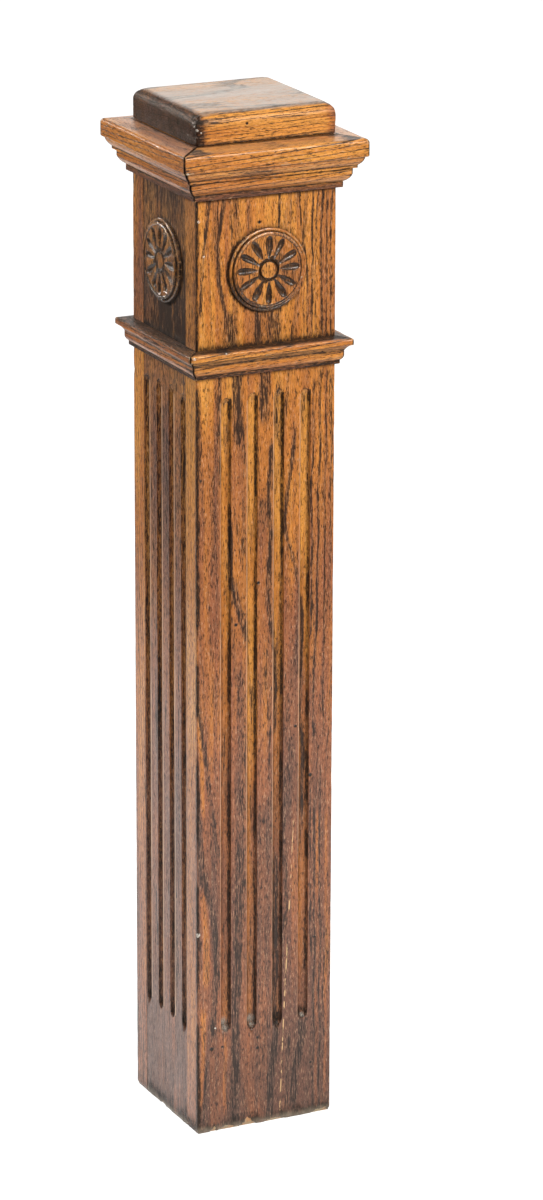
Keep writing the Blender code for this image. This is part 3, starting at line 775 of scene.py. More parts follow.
def gouge_cut(radius, angle, seed):
    """Depth of the twelve gouges at each point, each a drop that widens outward and is a little off true."""
    draw = np.random.default_rng(seed)
    cut = np.zeros(radius.shape)
    for number in range(GOUGE_COUNT):
        lean, turn, fuller, deeper, inner, outer = draw.uniform(-1, 1, 6)
        near = BUTTON_RADIUS + RING_WIDTH + inner * 0.0005
        far = FACE_RADIUS - GOUGE_RIM_MARGIN / 2 + outer * 0.0008
        middle = 2 * math.pi * number / GOUGE_COUNT + turn * 0.035
        offset = (angle - middle + math.pi) % (2 * math.pi) - math.pi
        along = (radius * np.cos(offset) - near) / (far - near)
        across = radius * np.sin(offset) - lean * 0.0006 * (along - 0.5)
        envelope = np.sqrt(np.clip(1 - (2 * along - 1) ** 2, 0, 1))
        fullness = envelope * (0.42 + 0.78 * np.clip(along, 0, 1))
        half = fullness * GOUGE_WIDTH / 2 * (1.20 + 0.14 * fuller)
        share = np.clip(1 - (across / np.maximum(half, 1e-6)) ** 2, 0, 1)
        one = fullness * GOUGE_DEPTH * (1 + 0.10 * deeper) * share**0.5
        cut = np.maximum(cut, np.where((abs(offset) < math.pi / 2) & (half > 1e-5), one, 0.0))
    return cut


def rosette_mesh(side):
    """A turned disc with two beads, a sunk ring round its button and twelve gouges."""
    seed = list(SIDES).index(side) + 5
    bead_turn = np.linspace(-math.pi / 2, math.pi / 2, 11)
    radii = np.concatenate(
        (
            [0.0004],
            np.linspace(0.0016, BUTTON_RADIUS - 0.0004, 9),
            np.linspace(BUTTON_RADIUS, BUTTON_RADIUS + RING_WIDTH, 11),
            np.linspace(BUTTON_RADIUS + RING_WIDTH + 0.0004, FACE_RADIUS - 0.0001, 52),
            FACE_RADIUS + INNER_BEAD[0] / 2 * (1 + np.sin(bead_turn)),
            ROSETTE_RADIUS - OUTER_BEAD[0] / 2 * (1 - np.sin(bead_turn[1:])),
            [ROSETTE_RADIUS, ROSETTE_RADIUS],
        )
    )
    columns = 300
    angle, radius = np.meshgrid(np.linspace(0, 2 * math.pi, columns, endpoint=False), radii)
    gouges = gouge_cut(radius, angle, seed)
    height = rosette_profile(radius) - np.where(radius < FACE_RADIUS, gouges, 0.0)
    spots = np.stack((radius * np.cos(angle), radius * np.sin(angle), angle * 0 + seed), axis=-1)
    height -= noise(spots, (0.006, 0.006, 1.0), 81) * 0.00028
    knocks = ramp(0.72, 0.95, noise(spots, (0.0035, 0.0035, 1.0), 82))
    rim = radius > FACE_RADIUS
    height -= knocks * np.where(rim, 0.0005, 0.00012)
    height[-1] = JOINT_GAP
    height[-2] = OUTER_BEAD[1] - OUTER_BEAD[0] / 2
    height = np.clip(height, JOINT_GAP, INNER_BEAD[1] - 1e-5)
    # Angle 0 points up, and grows to the right as the face is seen
    x = radius * np.sin(angle)
    z = radius * np.cos(angle) + ROSETTE_HEIGHT
    points = np.stack((x, -HALF_WIDTH - height, z), axis=-1)

    # Dirt and painted shade in the grooves, the sunk ring and the gouges, by their depth
    groove = ramp(0.0009, 0.0, abs(radius - (ROSETTE_RADIUS - OUTER_BEAD[0])))
    groove = np.maximum(groove, 0.9 * ramp(0.0008, 0.0, abs(radius - FACE_RADIUS)))
    spread = 0.0060 * noise(spots, (0.004, 0.004, 1.0), 84) ** 2
    ring = ramp(BUTTON_RADIUS - 0.0005, BUTTON_RADIUS + 0.0003, radius)
    ring *= ramp(BUTTON_RADIUS + RING_WIDTH + 0.0006, BUTTON_RADIUS + RING_WIDTH, radius - spread)
    base = ramp(ROSETTE_RADIUS - 0.0007, ROSETTE_RADIUS, radius)
    # Painted shade: heavier on the lower left, and along the underside of the rim
    low_left_shade = 0.7 + 0.4 * ramp(0.4, -0.8, np.sin(angle) + np.cos(angle))
    broken = noise(spots, (0.0022, 0.0022, 1.0), 83)
    deep = ramp(0.0002, 0.0010, gouges) * (0.80 + 0.80 * broken)
    underside_shade = ramp(0.15, 0.80, np.cos(angle - math.radians(198))) * rim * (0.60 + 0.55 * broken)
    ring = ring * (0.85 + 0.4 * broken)
    grime_and_shade = np.maximum.reduce((groove * low_left_shade, ring, base * low_left_shade, deep, underside_shade))
    if side == "left":
        grime_and_shade = np.maximum(grime_and_shade, 0.62 * broken * noise(spots, (0.009, 0.009, 1.0), 85) ** 0.5)
    # Painted highlight: the crests of both beads are painted pale toward the top left and the top right,
    # beside the real knocks
    inner_crest = abs(radius - (ROSETTE_RADIUS - OUTER_BEAD[0] - INNER_BEAD[0] * 0.4))
    outer_crest = abs(radius - (ROSETTE_RADIUS - OUTER_BEAD[0] * 0.45))
    crest_highlight = ramp(0.0012, 0.0003, np.minimum(inner_crest, outer_crest))
    upper = ramp(0.60, 1.0, np.cos(angle - math.radians(325))) + ramp(0.7, 1.0, np.cos(angle - 0.8))
    wear_and_highlight = np.maximum(knocks * np.where(rim, 0.8, 0.15), crest_highlight * upper * (0.45 + 0.5 * broken))
    points = turned(points, SIDES[side])
    dense = np.full(wear_and_highlight.shape, 0.45 if side == "left" else 0.15)
    marks = {"grime_and_shade": np.clip(grime_and_shade, 0, 1), "wear_and_highlight": wear_and_highlight, "dense": dense}
    return tube_mesh(f"{side}_rosette", points, marks)


# Oak


class ShaderNodes:
    """Short ways to add and join the shader nodes of a material or a world."""

    def __init__(self, owner):
        self.tree = owner.node_tree

    def put(self, socket, value):
        """Joins a socket to another, or sets its own value."""
        if isinstance(value, bpy.types.NodeSocket):
            self.tree.links.new(value, socket)
        elif value is not None:
            socket.default_value = value

    def node(self, kind, **settings):
        """A new node with some of its settings."""
        made = self.tree.nodes.new(kind)
        for key, value in settings.items():
            setattr(made, key, value)
        return made

    def maths(self, operation, first, second=None, third=None, clamp=False):
        """One step of arithmetic."""
        made = self.node("ShaderNodeMath", operation=operation, use_clamp=clamp)
        for socket, value in zip(made.inputs, (first, second, third)):
            self.put(socket, value)
        return made.outputs[0]

    def times(self, first, second, clamp=False):
        """The product of two numbers."""
        return self.maths("MULTIPLY", first, second, clamp=clamp)

    def scale_add(self, value, scale, extra, clamp=False):
        """A number times a scale, plus another number."""
        return self.maths("MULTIPLY_ADD", value, scale, extra, clamp)

    def larger(self, first, second):
        """The larger of two numbers."""
        return self.maths("MAXIMUM", first, second)

    def minus(self, first, second):
        """One number less another."""
        return self.maths("SUBTRACT", first, second)

    def parts(self, vector):
        """The three numbers of a vector."""
        made = self.node("ShaderNodeSeparateXYZ")
        self.put(made.inputs[0], vector)
        return made.outputs

    def vector(self, operation, first, second):
        """One step of vector arithmetic."""
        made = self.node("ShaderNodeVectorMath", operation=operation)
        self.put(made.inputs[0], first)
        self.put(made.inputs[1], second)
        return made.outputs[0]

    def noise(self, place, cell, detail=2.0, rough=0.5, colour=False):
        """Noise whose features have the given size in millimetres, as (across, depth, along)."""
        made = self.node("ShaderNodeTexNoise")
        self.put(made.inputs["Vector"], self.vector("MULTIPLY", place, tuple(1 / size for size in cell)))
        for key, value in (("Scale", 1.0), ("Detail", detail), ("Roughness", rough)):
            self.put(made.inputs[key], value)
        return made.outputs["Color" if colour else "Fac"]

    def between(self, value, low, high, out_low=0.0, out_high=1.0):
        """Goes smoothly from one output to the other as the value passes between two limits."""
        made = self.node("ShaderNodeMapRange", interpolation_type="SMOOTHSTEP")
        for socket, number in zip(made.inputs, (value, low, high, out_low, out_high)):
            self.put(socket, number)
        return made.outputs[0]

    def blend(self, share, first, second, mode="MIX"):
        """Mixes two colours."""
        made = self.node("ShaderNodeMix", data_type="RGBA", blend_type=mode)
        self.put(made.inputs[0], share)
        self.put(made.inputs[6], (*first, 1.0) if isinstance(first, tuple) else first)
        self.put(made.inputs[7], (*second, 1.0) if isinstance(second, tuple) else second)
        return made.outputs[2]

    def attribute(self, name):
        """A number kept at the mesh's points."""
        return self.node("ShaderNodeAttribute", attribute_name=name).outputs["Fac"]


# Colours of stain, dirt and bare wood, which also serve for painted shade, sheen, highlights and glints,
# linear
GOLD = (0.600, 0.255, 0.050)
ORANGE = (0.450, 0.158, 0.030)
RED_BROWN = (0.270, 0.093, 0.040)
PURPLE_BROWN = (0.135, 0.058, 0.038)
EARLY_WOOD = (0.105, 0.062, 0.045)
# Pale flecks of the grain, and also the painted highlight on the flutes' lit arrises
PALE_FLECK_AND_HIGHLIGHT = (0.660, 0.400, 0.230)
PORE = (0.016, 0.008, 0.006)
GRIME_AND_SHADE = (0.007, 0.005, 0.004)
# Dust, which also stands for a painted sheen
DUST_AND_SHEEN = (0.42, 0.405, 0.384)
FOOT_DUST = (0.26, 0.21, 0.15)
RAW_WOOD = (0.38, 0.285, 0.16)
BARE_WOOD = (0.44, 0.22, 0.09)
SAWN_WOOD = (0.34, 0.185, 0.085)
SAWN_DARK = (0.15, 0.072, 0.034)
SPLIT_WOOD = (0.58, 0.36, 0.17)
CHALK = (0.66, 0.62, 0.54)
# Colour of the painted glints at the feet of the front flutes
PAINTED_GLINT = (0.40, 0.37, 0.32)
WARM_GLOSS = (1.0, 0.84, 0.66, 1.0)

# Gloss of the wood and its varnish, and the relief of its pores, in metres
WOOD_GLOSS = 0.20
VARNISH_IOR = 1.5
RELIEF_STRENGTH = 0.60
RELIEF_DEPTH = 0.00038

# Directions of a piece's grain in the front's own frame: rows give across, depth and along
UPRIGHT_GRAIN = Matrix(((1, 0, 0), (0, 1, 0), (0, 0, 1)))
LEVEL_GRAIN = Matrix(((0, 0, -1), (0, 1, 0), (1, 0, 0)))


def grain_places(oak, world, turn, grain, shift):
    """Places in millimetres along a piece's own grain, and the same places bent by the grain's wander."""
    lay = oak.node("ShaderNodeMapping", vector_type="POINT")
    oak.put(lay.inputs["Vector"], world)
    axes = grain @ Matrix.Rotation(math.radians(-turn), 3, "Z")
    lay.inputs["Rotation"].default_value = axes.to_euler()
    lay.inputs["Scale"].default_value = (1000, 1000, 1000)
    lay.inputs["Location"].default_value = shift
    place = lay.outputs["Vector"]
    wander = oak.vector("SUBTRACT", oak.noise(place, (60, 60, 420), 1.0, colour=True), (0.5, 0.5, 0.5))
    quiver = oak.vector("SUBTRACT", oak.noise(place, (9, 9, 80), 1.0, colour=True), (0.5, 0.5, 0.5))
    bent = oak.vector("ADD", place, oak.vector("MULTIPLY", wander, (10, 6, 0)))
    bent = oak.vector("ADD", bent, oak.vector("MULTIPLY", quiver, (2.0, 1.0, 0)))
    return place, bent


def year_rings(oak, bent, pith, period, shift):
    """How far through its year the wood is at each point, and a number from 0 to 1 for that year."""
    across, deep, along = oak.parts(bent)
    across = oak.scale_add(along, pith[2], oak.minus(across, pith[0] + shift[0]))
    deep = oak.scale_add(along, pith[3], oak.minus(deep, pith[1] + shift[1]))
    squares = [oak.maths("POWER", reach, 2.0) for reach in (across, deep)]
    radius = oak.maths("SQRT", oak.maths("ADD", *squares))
    years = oak.maths("DIVIDE", radius, period)
    year = oak.node("ShaderNodeTexWhiteNoise", noise_dimensions="1D")
    oak.put(year.inputs["W"], oak.maths("FLOOR", years))
    return oak.maths("FRACT", years), year.outputs["Value"]


def open_pores(oak, bent, season, harshness, ring_strength):
    """The share of early wood, and the long open pores that crowd in it."""
    early = oak.times(oak.between(season, 0.0, 0.05), oak.between(season, 0.36, 0.10))
    early = oak.times(early, oak.between(harshness, 0.0, 1.0, 0.40, 1.0))
    clusters = oak.between(oak.noise(bent, (8, 8, 150), 2.0, 0.55), 0.59, 0.69)
    early = oak.larger(early, oak.times(clusters, 0.90))
    early = oak.times(early, ring_strength)
    early = oak.larger(early, oak.attribute("dense"))
    dashes = oak.noise(bent, (1.6, 1.6, 20), 2.0, 0.6)
    hairs = oak.noise(bent, (1.1, 1.1, 8), 2.0, 0.6)
    limit = oak.scale_add(early, -0.255, 0.705)
    broad = oak.between(oak.minus(dashes, limit), -0.01, 0.045)
    fine_limit = oak.scale_add(early, -0.13, 0.620)
    fine = oak.between(oak.minus(hairs, fine_limit), -0.01, 0.05)
    return early, oak.larger(broad, oak.times(fine, 0.85))


def stain_colour(oak, cloud, bent, world, darkness):
    """The stain, golden to red and purple brown, darker and redder towards the floor."""
    lowness = oak.between(oak.parts(world)[2], 0.90, 0.10)
    bands = oak.noise(bent, (6, 6, 210), 2.0, 0.55)
    tone = oak.scale_add(cloud, 1.20, oak.attribute("tint"))
    tone = oak.scale_add(bands, 0.80, tone)
    tone = oak.scale_add(lowness, 0.56, oak.maths("ADD", tone, darkness - 0.665))
    stain = oak.node("ShaderNodeValToRGB")
    oak.put(stain.inputs[0], tone)
    stops = ((0.0, GOLD), (0.30, ORANGE), (0.68, RED_BROWN), (1.0, PURPLE_BROWN))
    elements = stain.color_ramp.elements
    while len(elements) < len(stops):
        elements.new(0.5)
    for element, (position, colour) in zip(elements, stops):
        element.position = position
        element.color = (*colour, 1.0)
    return stain.outputs[0]


def spot_mask(oak, world, spots, core=0.45):
    """How far each point lies inside any of some small round spots, from 0 to 1."""
    mask = 0.0
    for *point, size in np.array(spots) / 1000:
        reach = oak.node("ShaderNodeVectorMath", operation="DISTANCE")
        oak.put(reach.inputs[0], world)
        oak.put(reach.inputs[1], point)
        mask = oak.larger(oak.between(reach.outputs["Value"], size, size * core), mask)
    return mask


def line_mask(oak, world, place, lines):
    """How far each point lies on any of some thin upright marks of the front, broken along their length."""
    across, _, height = oak.parts(world)
    breaks = oak.between(oak.noise(place, (4, 4, 11), 2.0, 0.6), 0.46, 0.56)
    mask = 0.0
    for (low_x, low_z), (high_x, high_z), half_width in lines:
        slope = (high_x - low_x) / (high_z - low_z)
        centre = oak.scale_add(height, slope, low_x - slope * low_z)
        aside = oak.maths("ABSOLUTE", oak.minus(across, centre))
        inside = oak.between(aside, half_width, half_width * 0.4)
        inside = oak.times(inside, oak.between(height, low_z, low_z + 0.004))
        inside = oak.times(inside, oak.between(height, high_z, high_z - 0.004))
        mask = oak.larger(oak.times(inside, breaks), mask)
    return mask


def oak_material(
    name, turn, grain, pith, period, shift, darkness=0.0, dust_and_sheen=0.0, holes=(), flecks=(), painted_glints=(),
    splinters=(), ring_strength=1.0, polish=0.58, haze=0.16, dulling=0.80,
):
    """Stained open-grained oak.

    The pith is the heart of the tree in the piece's own frame, as (across, depth, lean across, lean in
    depth), in millimetres and in millimetres for each millimetre along. The period is the width of a year's
    ring. The polish is the varnish's weight, the haze its roughness, and the dulling what dirt and painted
    shade take from it.
    """
    material = bpy.data.materials.new(name)
    material.use_nodes = True
    oak = ShaderNodes(material)
    shader = material.node_tree.nodes["Principled BSDF"]
    world = oak.node("ShaderNodeTexCoord").outputs["Object"]
    place, bent = grain_places(oak, world, turn, grain, shift)
    season, harshness = year_rings(oak, bent, pith, period, shift)
    early, pore = open_pores(oak, bent, season, harshness, ring_strength)

    # Stain, with a fine speckle of pale and dark
    cloud = oak.noise(place, (34, 34, 190), 3.0, 0.55)
    wood = stain_colour(oak, cloud, bent, world, darkness)
    mottle = oak.noise(place, (2.6, 2.6, 11), 3.0, 0.6)
    value = oak.between(mottle, 0.25, 0.75, 0.80, 1.18)
    wood = oak.blend(1.0, wood, value, "MULTIPLY")
    wood = oak.blend(oak.times(early, 0.60), wood, EARLY_WOOD)
    speck = oak.noise(place, (1.4, 1.4, 5.5), 2.0, 0.7)
    wood = oak.blend(oak.between(speck, 0.44, 0.30, 0.0, 0.34), wood, PALE_FLECK_AND_HIGHLIGHT)
    crowded = oak.scale_add(oak.attribute("dense"), 0.05, speck)
    wood = oak.blend(oak.between(crowded, 0.54, 0.68, 0.0, 0.75), wood, PORE)
    wood = oak.blend(oak.times(pore, 0.90), wood, PORE)

    # Sawn wood inside the handrail's seat
    bare = oak.attribute("bare")
    strokes = oak.between(oak.noise(place, (2.4, 2.4, 30), 3.0, 0.6), 0.34, 0.66)
    sawn = oak.blend(strokes, SAWN_WOOD, SAWN_DARK)
    sawn = oak.blend(oak.times(pore, 0.75), sawn, PORE)
    wood = oak.blend(oak.times(bare, 0.90), wood, sawn)

    # Dust with a painted sheen on what faces up, dirt and painted shade in the hollows, and raw wood where
    # the edges are knocked and as painted highlights on the rosettes' crests
    if dust_and_sheen:
        upward = oak.parts(oak.node("ShaderNodeNewGeometry").outputs["Normal"])[2]
        film = oak.noise(place, (3.0, 3.0, 9.0), 3.0, 0.7)
        lying = oak.between(oak.scale_add(cloud, 0.5, film), 0.55, 0.92, 0.50 * dust_and_sheen, 1.25 * dust_and_sheen)
        wood = oak.blend(oak.times(oak.between(upward, 0.80, 0.97), lying), wood, DUST_AND_SHEEN)
    crumbs = oak.noise(place, (1.3, 1.3, 5.0), 3.0, 0.6)
    # The grime mark holds dirt and painted shade alike
    dirt_and_shade = oak.times(oak.attribute("grime_and_shade"), oak.between(crumbs, 0.30, 0.65, 0.55, 1.65), clamp=True)
    wood = oak.blend(oak.times(dirt_and_shade, 0.93), wood, GRIME_AND_SHADE)
    flakes = oak.noise(place, (1.3, 1.3, 3.0), 2.0, 0.6)
    # The wear mark also holds the painted highlights on the rosettes' crests, in the same raw wood colours
    worn = oak.scale_add(flakes, 1.6, oak.minus(oak.attribute("wear_and_highlight"), 0.8))
    worn = oak.between(worn, 0.62, 0.80, 0.0, 0.88)
    raw = oak.blend(oak.between(oak.noise(place, (6, 6, 9)), 0.40, 0.60), BARE_WOOD, RAW_WOOD)
    wood = oak.blend(worn, wood, raw)

    # Painted highlight along the lit arris of each flute
    wood = oak.blend(oak.times(oak.attribute("pale"), 0.75), wood, PALE_FLECK_AND_HIGHLIGHT)
    wood = oak.blend(oak.times(oak.attribute("dusty"), 0.62), wood, FOOT_DUST)

    # Nail holes, small white chips and splinters
    pits = spot_mask(oak, world, holes) if holes else None
    if holes:
        wood = oak.blend(pits, wood, GRIME_AND_SHADE)
    if splinters:
        wood = oak.blend(line_mask(oak, world, place, splinters), wood, SPLIT_WOOD)
    # Painted glints: soft pale grey spots at the feet of the front flutes
    if painted_glints:
        streaky = oak.noise(place, (1.3, 1.3, 0.35), 2.0, 0.6)
        streaky = oak.between(streaky, 0.40, 0.60, 0.05, 0.80)
        wood = oak.blend(oak.times(spot_mask(oak, world, painted_glints, 0.05), streaky), wood, PAINTED_GLINT)
    if flecks:
        ragged = oak.noise(place, (0.9, 0.9, 1.6), 1.0, 0.6)
        chipped = oak.scale_add(ragged, 2.2, oak.minus(spot_mask(oak, world, flecks), 1.1))
        chipped = oak.between(chipped, 0.62, 0.90, 0.0, 0.72)
        wood = oak.blend(chipped, wood, CHALK)
    oak.put(shader.inputs["Base Color"], wood)

    gloss = oak.noise(place, (14, 14, 60), 3.0, 0.6)
    rough = oak.between(gloss, 0.30, 0.70, 0.34, 0.52)
    rough = oak.scale_add(pore, 0.20, rough)
    rough = oak.scale_add(bare, 0.25, rough, clamp=True)
    oak.put(shader.inputs["Roughness"], rough)
    constants = {"Specular IOR Level": WOOD_GLOSS, "Specular Tint": WARM_GLOSS}
    constants.update({"Coat Roughness": haze, "Coat IOR": VARNISH_IOR})
    for key, value in constants.items():
        shader.inputs[key].default_value = value
    oak.put(shader.inputs["Coat Weight"], oak.scale_add(dirt_and_shade, -dulling * polish, polish))

    # Relief: open pores, a rippled varnish and crumbs where dirt and painted shade lie
    relief = oak.times(pore, -0.75)
    relief = oak.scale_add(mottle, 0.45, relief)
    relief = oak.scale_add(speck, -0.40, relief)
    relief = oak.scale_add(oak.noise(place, (6, 6, 16), 1.0), 0.9, relief)
    relief = oak.scale_add(oak.times(crumbs, dirt_and_shade), 1.7, relief)
    if holes:
        relief = oak.scale_add(pits, -2.0, relief)
    bump = oak.node("ShaderNodeBump")
    oak.put(bump.inputs["Height"], relief)
    bump.inputs["Strength"].default_value = RELIEF_STRENGTH
    bump.inputs["Distance"].default_value = RELIEF_DEPTH
    oak.put(shader.inputs["Normal"], bump.outputs["Normal"])
    oak.put(shader.inputs["Coat Normal"], bump.outputs["Normal"])
    return material


# Each board's heart and ring width, and how dark its stain is
BOARD_GRAIN = {
    "front": ((5.0, 102.0, 0.004, 0.020), 3.8, (0.0, 0.0, 0.0), -0.03),
    "right": ((20.0, 90.0, 0.020, 0.030), 4.0, (300.0, 120.0, 910.0), 0.05),
    "back": ((-30.0, 75.0, -0.030, 0.035), 4.2, (610.0, 240.0, 410.0), 0.08),
    "left": ((95.0, 40.0, 0.010, 0.020), 2.6, (920.0, 360.0, 130.0), 0.02),
}
MOULDING_GRAIN = {
    "front": ((30.0, 70.0, 0.05, 0.12), 5.0, -0.11),
    "right": ((-40.0, 60.0, 0.06, -0.08), 5.2, -0.02),
    "back": ((35.0, 80.0, -0.05, 0.06), 5.4, 0.02),
    "left": ((-30.0, 65.0, 0.04, 0.09), 4.8, 0.0),
}


# How thickly dust, with a painted sheen, lies on level surfaces
MOULDING_DUST_AND_SHEEN = 0.10
CAP_DUST_AND_SHEEN = 0.68

# Nail holes and pits, in millimetres, as (across, out, up, radius)
FRONT_BOARD_HOLES = (
    (-8, -76, 96.5, 1.9),
    (-7.8, -76, 85, 2.4),
    (-60, -76, 92.5, 2.8),
    (-48, -76, 93, 1.7),
    (-71.5, -76, 702, 1.5),
    (-8, -75.5, 588, 2.4),
    (-33, -76, 547, 2.4),
    (57, -76, 197, 1.8),
    (53, -76, 58, 1.8),
    (51, -76, 375, 2.8),
    (34, -76, 430, 2.2),
    (-7.8, -76, 958.7, 2.4),
)
CORNICE_HOLES = (
    (-52.1, -89.5, 1005.5, 1.5),
    (-13, -89.5, 1005.3, 1.9),
)
COLLAR_HOLES = (
    (57.8, -83.5, 822.8, 1.5),
    (-30, -83.5, 820, 1.1),
)
CAP_HOLES = ((-21.6, -75.5, 1058.5, 2.1),)

# White chips, and soft pale spots at the flutes' feet that are painted glints, in the same form, and pale
# splinters, in metres, as (low end, high end, half width)
FRONT_BOARD_FLECKS = (
    (-73.2, -76, 965.2, 2.2),
    (-67.9, -76, 929.6, 1.8),
    (-75, -75.5, 220, 3.4),
    (-56, -76, 115, 1.5),
)
# Painted glints at the feet of the front flutes
FRONT_BOARD_PAINTED_GLINTS = (
    (-44.8, -72.2, 112, 7.5),
    (-45.6, -71.5, 119.5, 7),
    (-15, -71.8, 118, 6.6),
    (-13.6, -73.5, 111.5, 4.6),
    (43.8, -73, 112, 4.2),
)
CORNICE_FLECKS = (
    (-96, -98, 1020, 3),
    (-85, -88, 987, 3.4),
    (-75, -84, 978, 4),
    (-99, -100, 1008, 2.6),
)
COLLAR_FLECKS = (
    (-85, -88, 831, 3.4),
    (-50, -89, 833, 1.4),
    (59, -85, 826, 1.6),
)
CAP_FLECKS = (
    (-42.1, -68, 1066.6, 3.6),
    (-74.5, -74.5, 1056, 2.4),
    (-70, -75.5, 1053, 1.8),
    (-75.2, -70, 1059, 2),
    (-75.2, -56, 1048, 1.4),
)
FRONT_BOARD_SPLINTERS = (
    ((0.0180, 0.0080), (0.0222, 0.1200), 0.0008),
    ((0.0222, 0.1200), (0.0262, 0.2000), 0.0009),
    ((0.0272, 0.2200), (0.0288, 0.2520), 0.0011),
    ((0.0290, 0.2550), (0.0322, 0.3300), 0.0006),
)


def build_post():
    """Makes every piece of the post."""
    for number, (side, turn) in enumerate(SIDES.items()):
        front = side == "front"
        pith, period, shift, darkness = BOARD_GRAIN[side]
        marks = {}
        if front:
            marks = {
                "holes": FRONT_BOARD_HOLES,
                "flecks": FRONT_BOARD_FLECKS,
                "painted_glints": FRONT_BOARD_PAINTED_GLINTS,
                "splinters": FRONT_BOARD_SPLINTERS,
                "ring_strength": 0.55,
            }
        if side == "left":
            marks = {"polish": 0.52, "haze": 0.18}
        grain = (UPRIGHT_GRAIN, pith, period, shift, darkness)
        finish = oak_material(f"oak_{side}_board", turn, *grain, **marks)
        add_piece(f"{side}_board", f"board_{side}", board_mesh(side), finish)
        for kind, height, holes, flecks in (
            ("collar", COLLAR_BOTTOM, COLLAR_HOLES, COLLAR_FLECKS),
            ("cornice", CORNICE_BOTTOM, CORNICE_HOLES, CORNICE_FLECKS),
        ):
            pith, period, darkness = MOULDING_GRAIN[side]
            shift = (1000 * height, 76.0 + 40 * number, 500.0 * number + (170.0 if kind == "collar" else 0.0))
            marks = {"holes": holes, "flecks": flecks} if front else {}
            finish = oak_material(
                f"oak_{side}_{kind}", turn, LEVEL_GRAIN, pith, period, shift, darkness, MOULDING_DUST_AND_SHEEN,
                polish=0.44, haze=0.24, **marks,
            )
            add_piece(f"{side}_{kind}", f"{kind}_{side}", moulding_mesh(side, kind), finish)
    for number, side in enumerate(ROSETTE_SIDES):
        shift = (700.0 + 90 * number, 410.0, 30.0 * number)
        finish = oak_material(
            f"oak_{side}_rosette", SIDES[side], UPRIGHT_GRAIN, (40.0, 60.0, 0.02, 0.03), 5.2, shift, -0.12,
            polish=1.0, haze=0.07, dulling=0.12,
        )
        add_piece(f"{side}_rosette", f"rosette_{side}", rosette_mesh(side), finish)
    cap_finish = oak_material(
        "oak_cap", 0.0, LEVEL_GRAIN, (1105.0, 60.0, 0.03, 0.05), 3.6, (0.0, 500.0, 300.0), -0.04,
        CAP_DUST_AND_SHEEN, CAP_HOLES, CAP_FLECKS, polish=0.20, haze=0.34,
    )
    add_piece("oak_cap", "cap_block", cap_mesh(), cap_finish)


# Studio

STUDIO_REACH = 30.0
PAPER_HALF_WIDTH = 1.36
PAPER_NEAR_END = 1.0
CARD_REACH = 12.0
CARD_LIFT = 0.004
FLAG_PLACE = Vector((-1.05, 2.25, 0.0))
FLAG_HALF_WIDTH = 1.6
FLAG_TOP = 3.2
SKY_DIM = 0.38
SKY_BRIGHT = 1.45

# Soft lights, as (name, place, height aimed at, width, power, colour)
SOFTBOXES = (
    ("key", (1.0, -3.0, 2.5), 0.6, 1.3, 124, (1.0, 0.97, 0.93)),
    ("rim", (-1.3, 1.5, 1.7), 0.7, 0.35, 44, (1.0, 0.97, 0.93)),
    ("spark", (-0.9, -2.2, 2.9), 0.8, 0.24, 26, (1.0, 0.98, 0.96)),
)


def plain_material(name, colour, roughness, glow=0.0):
    """A plain painted or papered surface of the studio."""
    material = bpy.data.materials.new(name)
    material.use_nodes = True
    shader = material.node_tree.nodes["Principled BSDF"]
    constants = {"Base Color": (*colour, 1.0), "Roughness": roughness}
    constants.update({"Emission Color": (1.0, 1.0, 1.0, 1.0), "Emission Strength": glow})
    for key, value in constants.items():
        shader.inputs[key].default_value = value
    return material


def add_sheet(name, corners, material):
    """A flat four-cornered sheet of the studio."""
    mesh = bpy.data.meshes.new(name)
    mesh.from_pydata(corners, [], [(0, 1, 2, 3)])
    mesh.materials.append(material)
    sheet = bpy.data.objects.new(name, mesh)
    bpy.context.scene.collection.objects.link(sheet)
    return sheet


def add_softbox(name, place, aim_height, size, power, colour):
    """A square soft light, out of the camera's sight."""
    lamp = bpy.data.lights.new(name, "AREA")
    lamp.shape = "SQUARE"
    lamp.size = size
    lamp.energy = power
    lamp.color = colour
    light = bpy.data.objects.new(name, lamp)
    light.location = place
    light.rotation_euler = (Vector(place) - Vector((0, 0, aim_height))).to_track_quat("Z", "Y").to_euler()
    light.visible_camera = False
    bpy.context.scene.collection.objects.link(light)


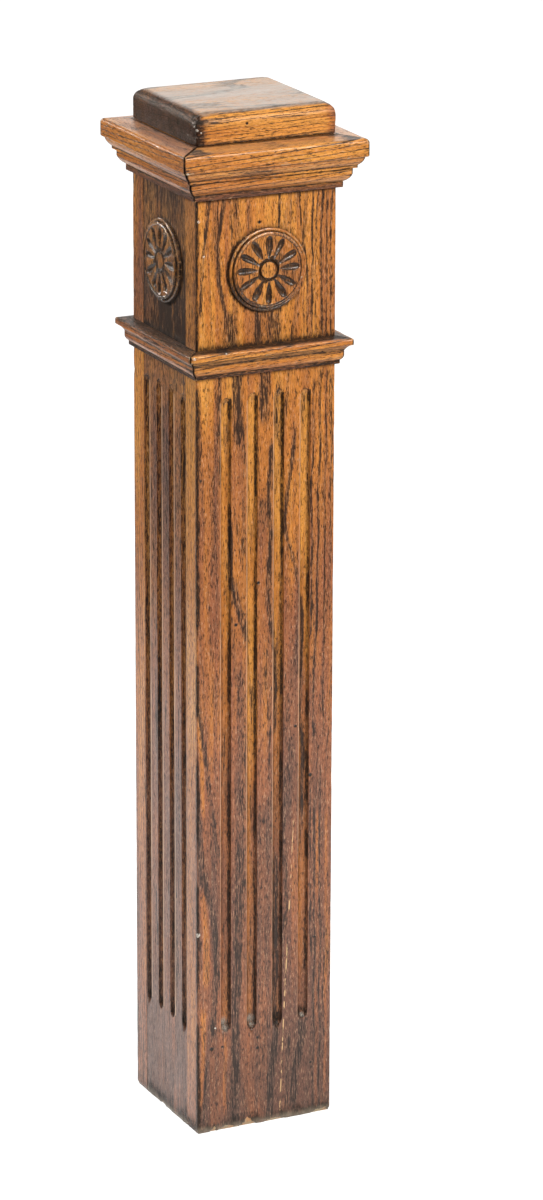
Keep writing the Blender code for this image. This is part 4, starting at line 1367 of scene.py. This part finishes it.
def build_studio():
    """A pale floor and surround, soft lights, and dark cards that keep stray light off the post."""
    paper = plain_material("paper", (0.30, 0.30, 0.30), 0.9, 0.90)
    corners = [(x * STUDIO_REACH, y * STUDIO_REACH, 0) for x, y in ((-1, -1), (1, -1), (1, 1), (-1, 1))]
    add_sheet("floor", corners, paper)

    # A white surround that only the camera sees
    white = plain_material("surround", (0.0, 0.0, 0.0), 1.0, 1.0)
    bpy.ops.mesh.primitive_uv_sphere_add(segments=48, ring_count=24, radius=STUDIO_REACH)
    surround = bpy.context.object
    surround.name = "surround"
    surround.data.materials.append(white)
    surround.visible_diffuse = False
    surround.visible_glossy = False
    surround.visible_shadow = False

    # Dark cards on the floor beyond the paper's edges, which the camera doesn't see. The paper lies along the
    # camera's own line.
    dark = plain_material("dark_card", (0.03, 0.03, 0.03), 0.9)
    along = Vector((math.sin(CAMERA_YAW), math.cos(CAMERA_YAW), 0.0))
    aside = Vector((-along.y, along.x, 0.0))
    lift = Vector((0, 0, CARD_LIFT))
    for name, low, high, near, far in (
        ("left_card", PAPER_HALF_WIDTH, CARD_REACH, -CARD_REACH, CARD_REACH),
        ("right_card", -CARD_REACH, -PAPER_HALF_WIDTH, -CARD_REACH, CARD_REACH),
        ("front_card", -PAPER_HALF_WIDTH, PAPER_HALF_WIDTH, -CARD_REACH, -PAPER_NEAR_END),
    ):
        places = ((low, near), (high, near), (high, far), (low, far))
        card = add_sheet(name, [aside * x + along * y + lift for x, y in places], dark)
        card.visible_camera = False
        card.visible_shadow = False

    # A dark flag behind the post on the left, which the left face mirrors above its middle
    flag_side = Vector((FLAG_PLACE.y, -FLAG_PLACE.x, 0.0)).normalized() * FLAG_HALF_WIDTH
    corners = [FLAG_PLACE - flag_side, FLAG_PLACE + flag_side]
    corners += [corner + Vector((0, 0, FLAG_TOP)) for corner in reversed(corners)]
    flag = add_sheet("flag", corners, dark)
    flag.visible_camera = False

    for settings in SOFTBOXES:
        add_softbox(*settings)

    sky = bpy.data.worlds.new("sky")
    sky.use_nodes = True
    bpy.context.scene.world = sky
    air = ShaderNodes(sky)
    background = sky.node_tree.nodes["Background"]
    toward = air.node("ShaderNodeVectorMath", operation="DOT_PRODUCT")
    air.put(toward.inputs[0], air.node("ShaderNodeTexCoord").outputs["Generated"])
    air.put(toward.inputs[1], along + Vector((0, 0, 0.20)))
    glow = air.between(toward.outputs["Value"], 0.72, 0.97, SKY_DIM, SKY_BRIGHT)
    air.put(background.inputs["Strength"], glow)
    air.put(background.inputs["Color"], (1.0, 0.975, 0.935, 1.0))


def build_camera():
    """The camera stands where the photograph was taken from."""
    yaw, pitch, roll = CAMERA_YAW, CAMERA_PITCH, CAMERA_ROLL
    forward = Vector((math.sin(yaw) * math.cos(pitch), math.cos(yaw) * math.cos(pitch), -math.sin(pitch)))
    right = Vector((math.cos(yaw), -math.sin(yaw), 0.0))
    down = forward.cross(right)
    level_right = math.cos(roll) * right + math.sin(roll) * down
    level_down = -math.sin(roll) * right + math.cos(roll) * down
    axes = Matrix((level_right, -level_down, -forward)).transposed()
    offset = CAMERA_OFFSET[0] * level_right + CAMERA_OFFSET[1] * level_down + CAMERA_OFFSET[2] * forward
    lens = bpy.data.cameras.new("camera")
    lens.lens = CAMERA_LENS
    lens.sensor_width = CAMERA_SENSOR
    lens.clip_end = 200.0
    camera = bpy.data.objects.new("camera", lens)
    camera.matrix_world = Matrix.Translation(CAMERA_TARGET - offset) @ axes.to_4x4()
    bpy.context.scene.collection.objects.link(camera)
    bpy.context.scene.camera = camera


build_post()
build_studio()
build_camera()
bpy.context.scene.view_settings.view_transform = "Standard"
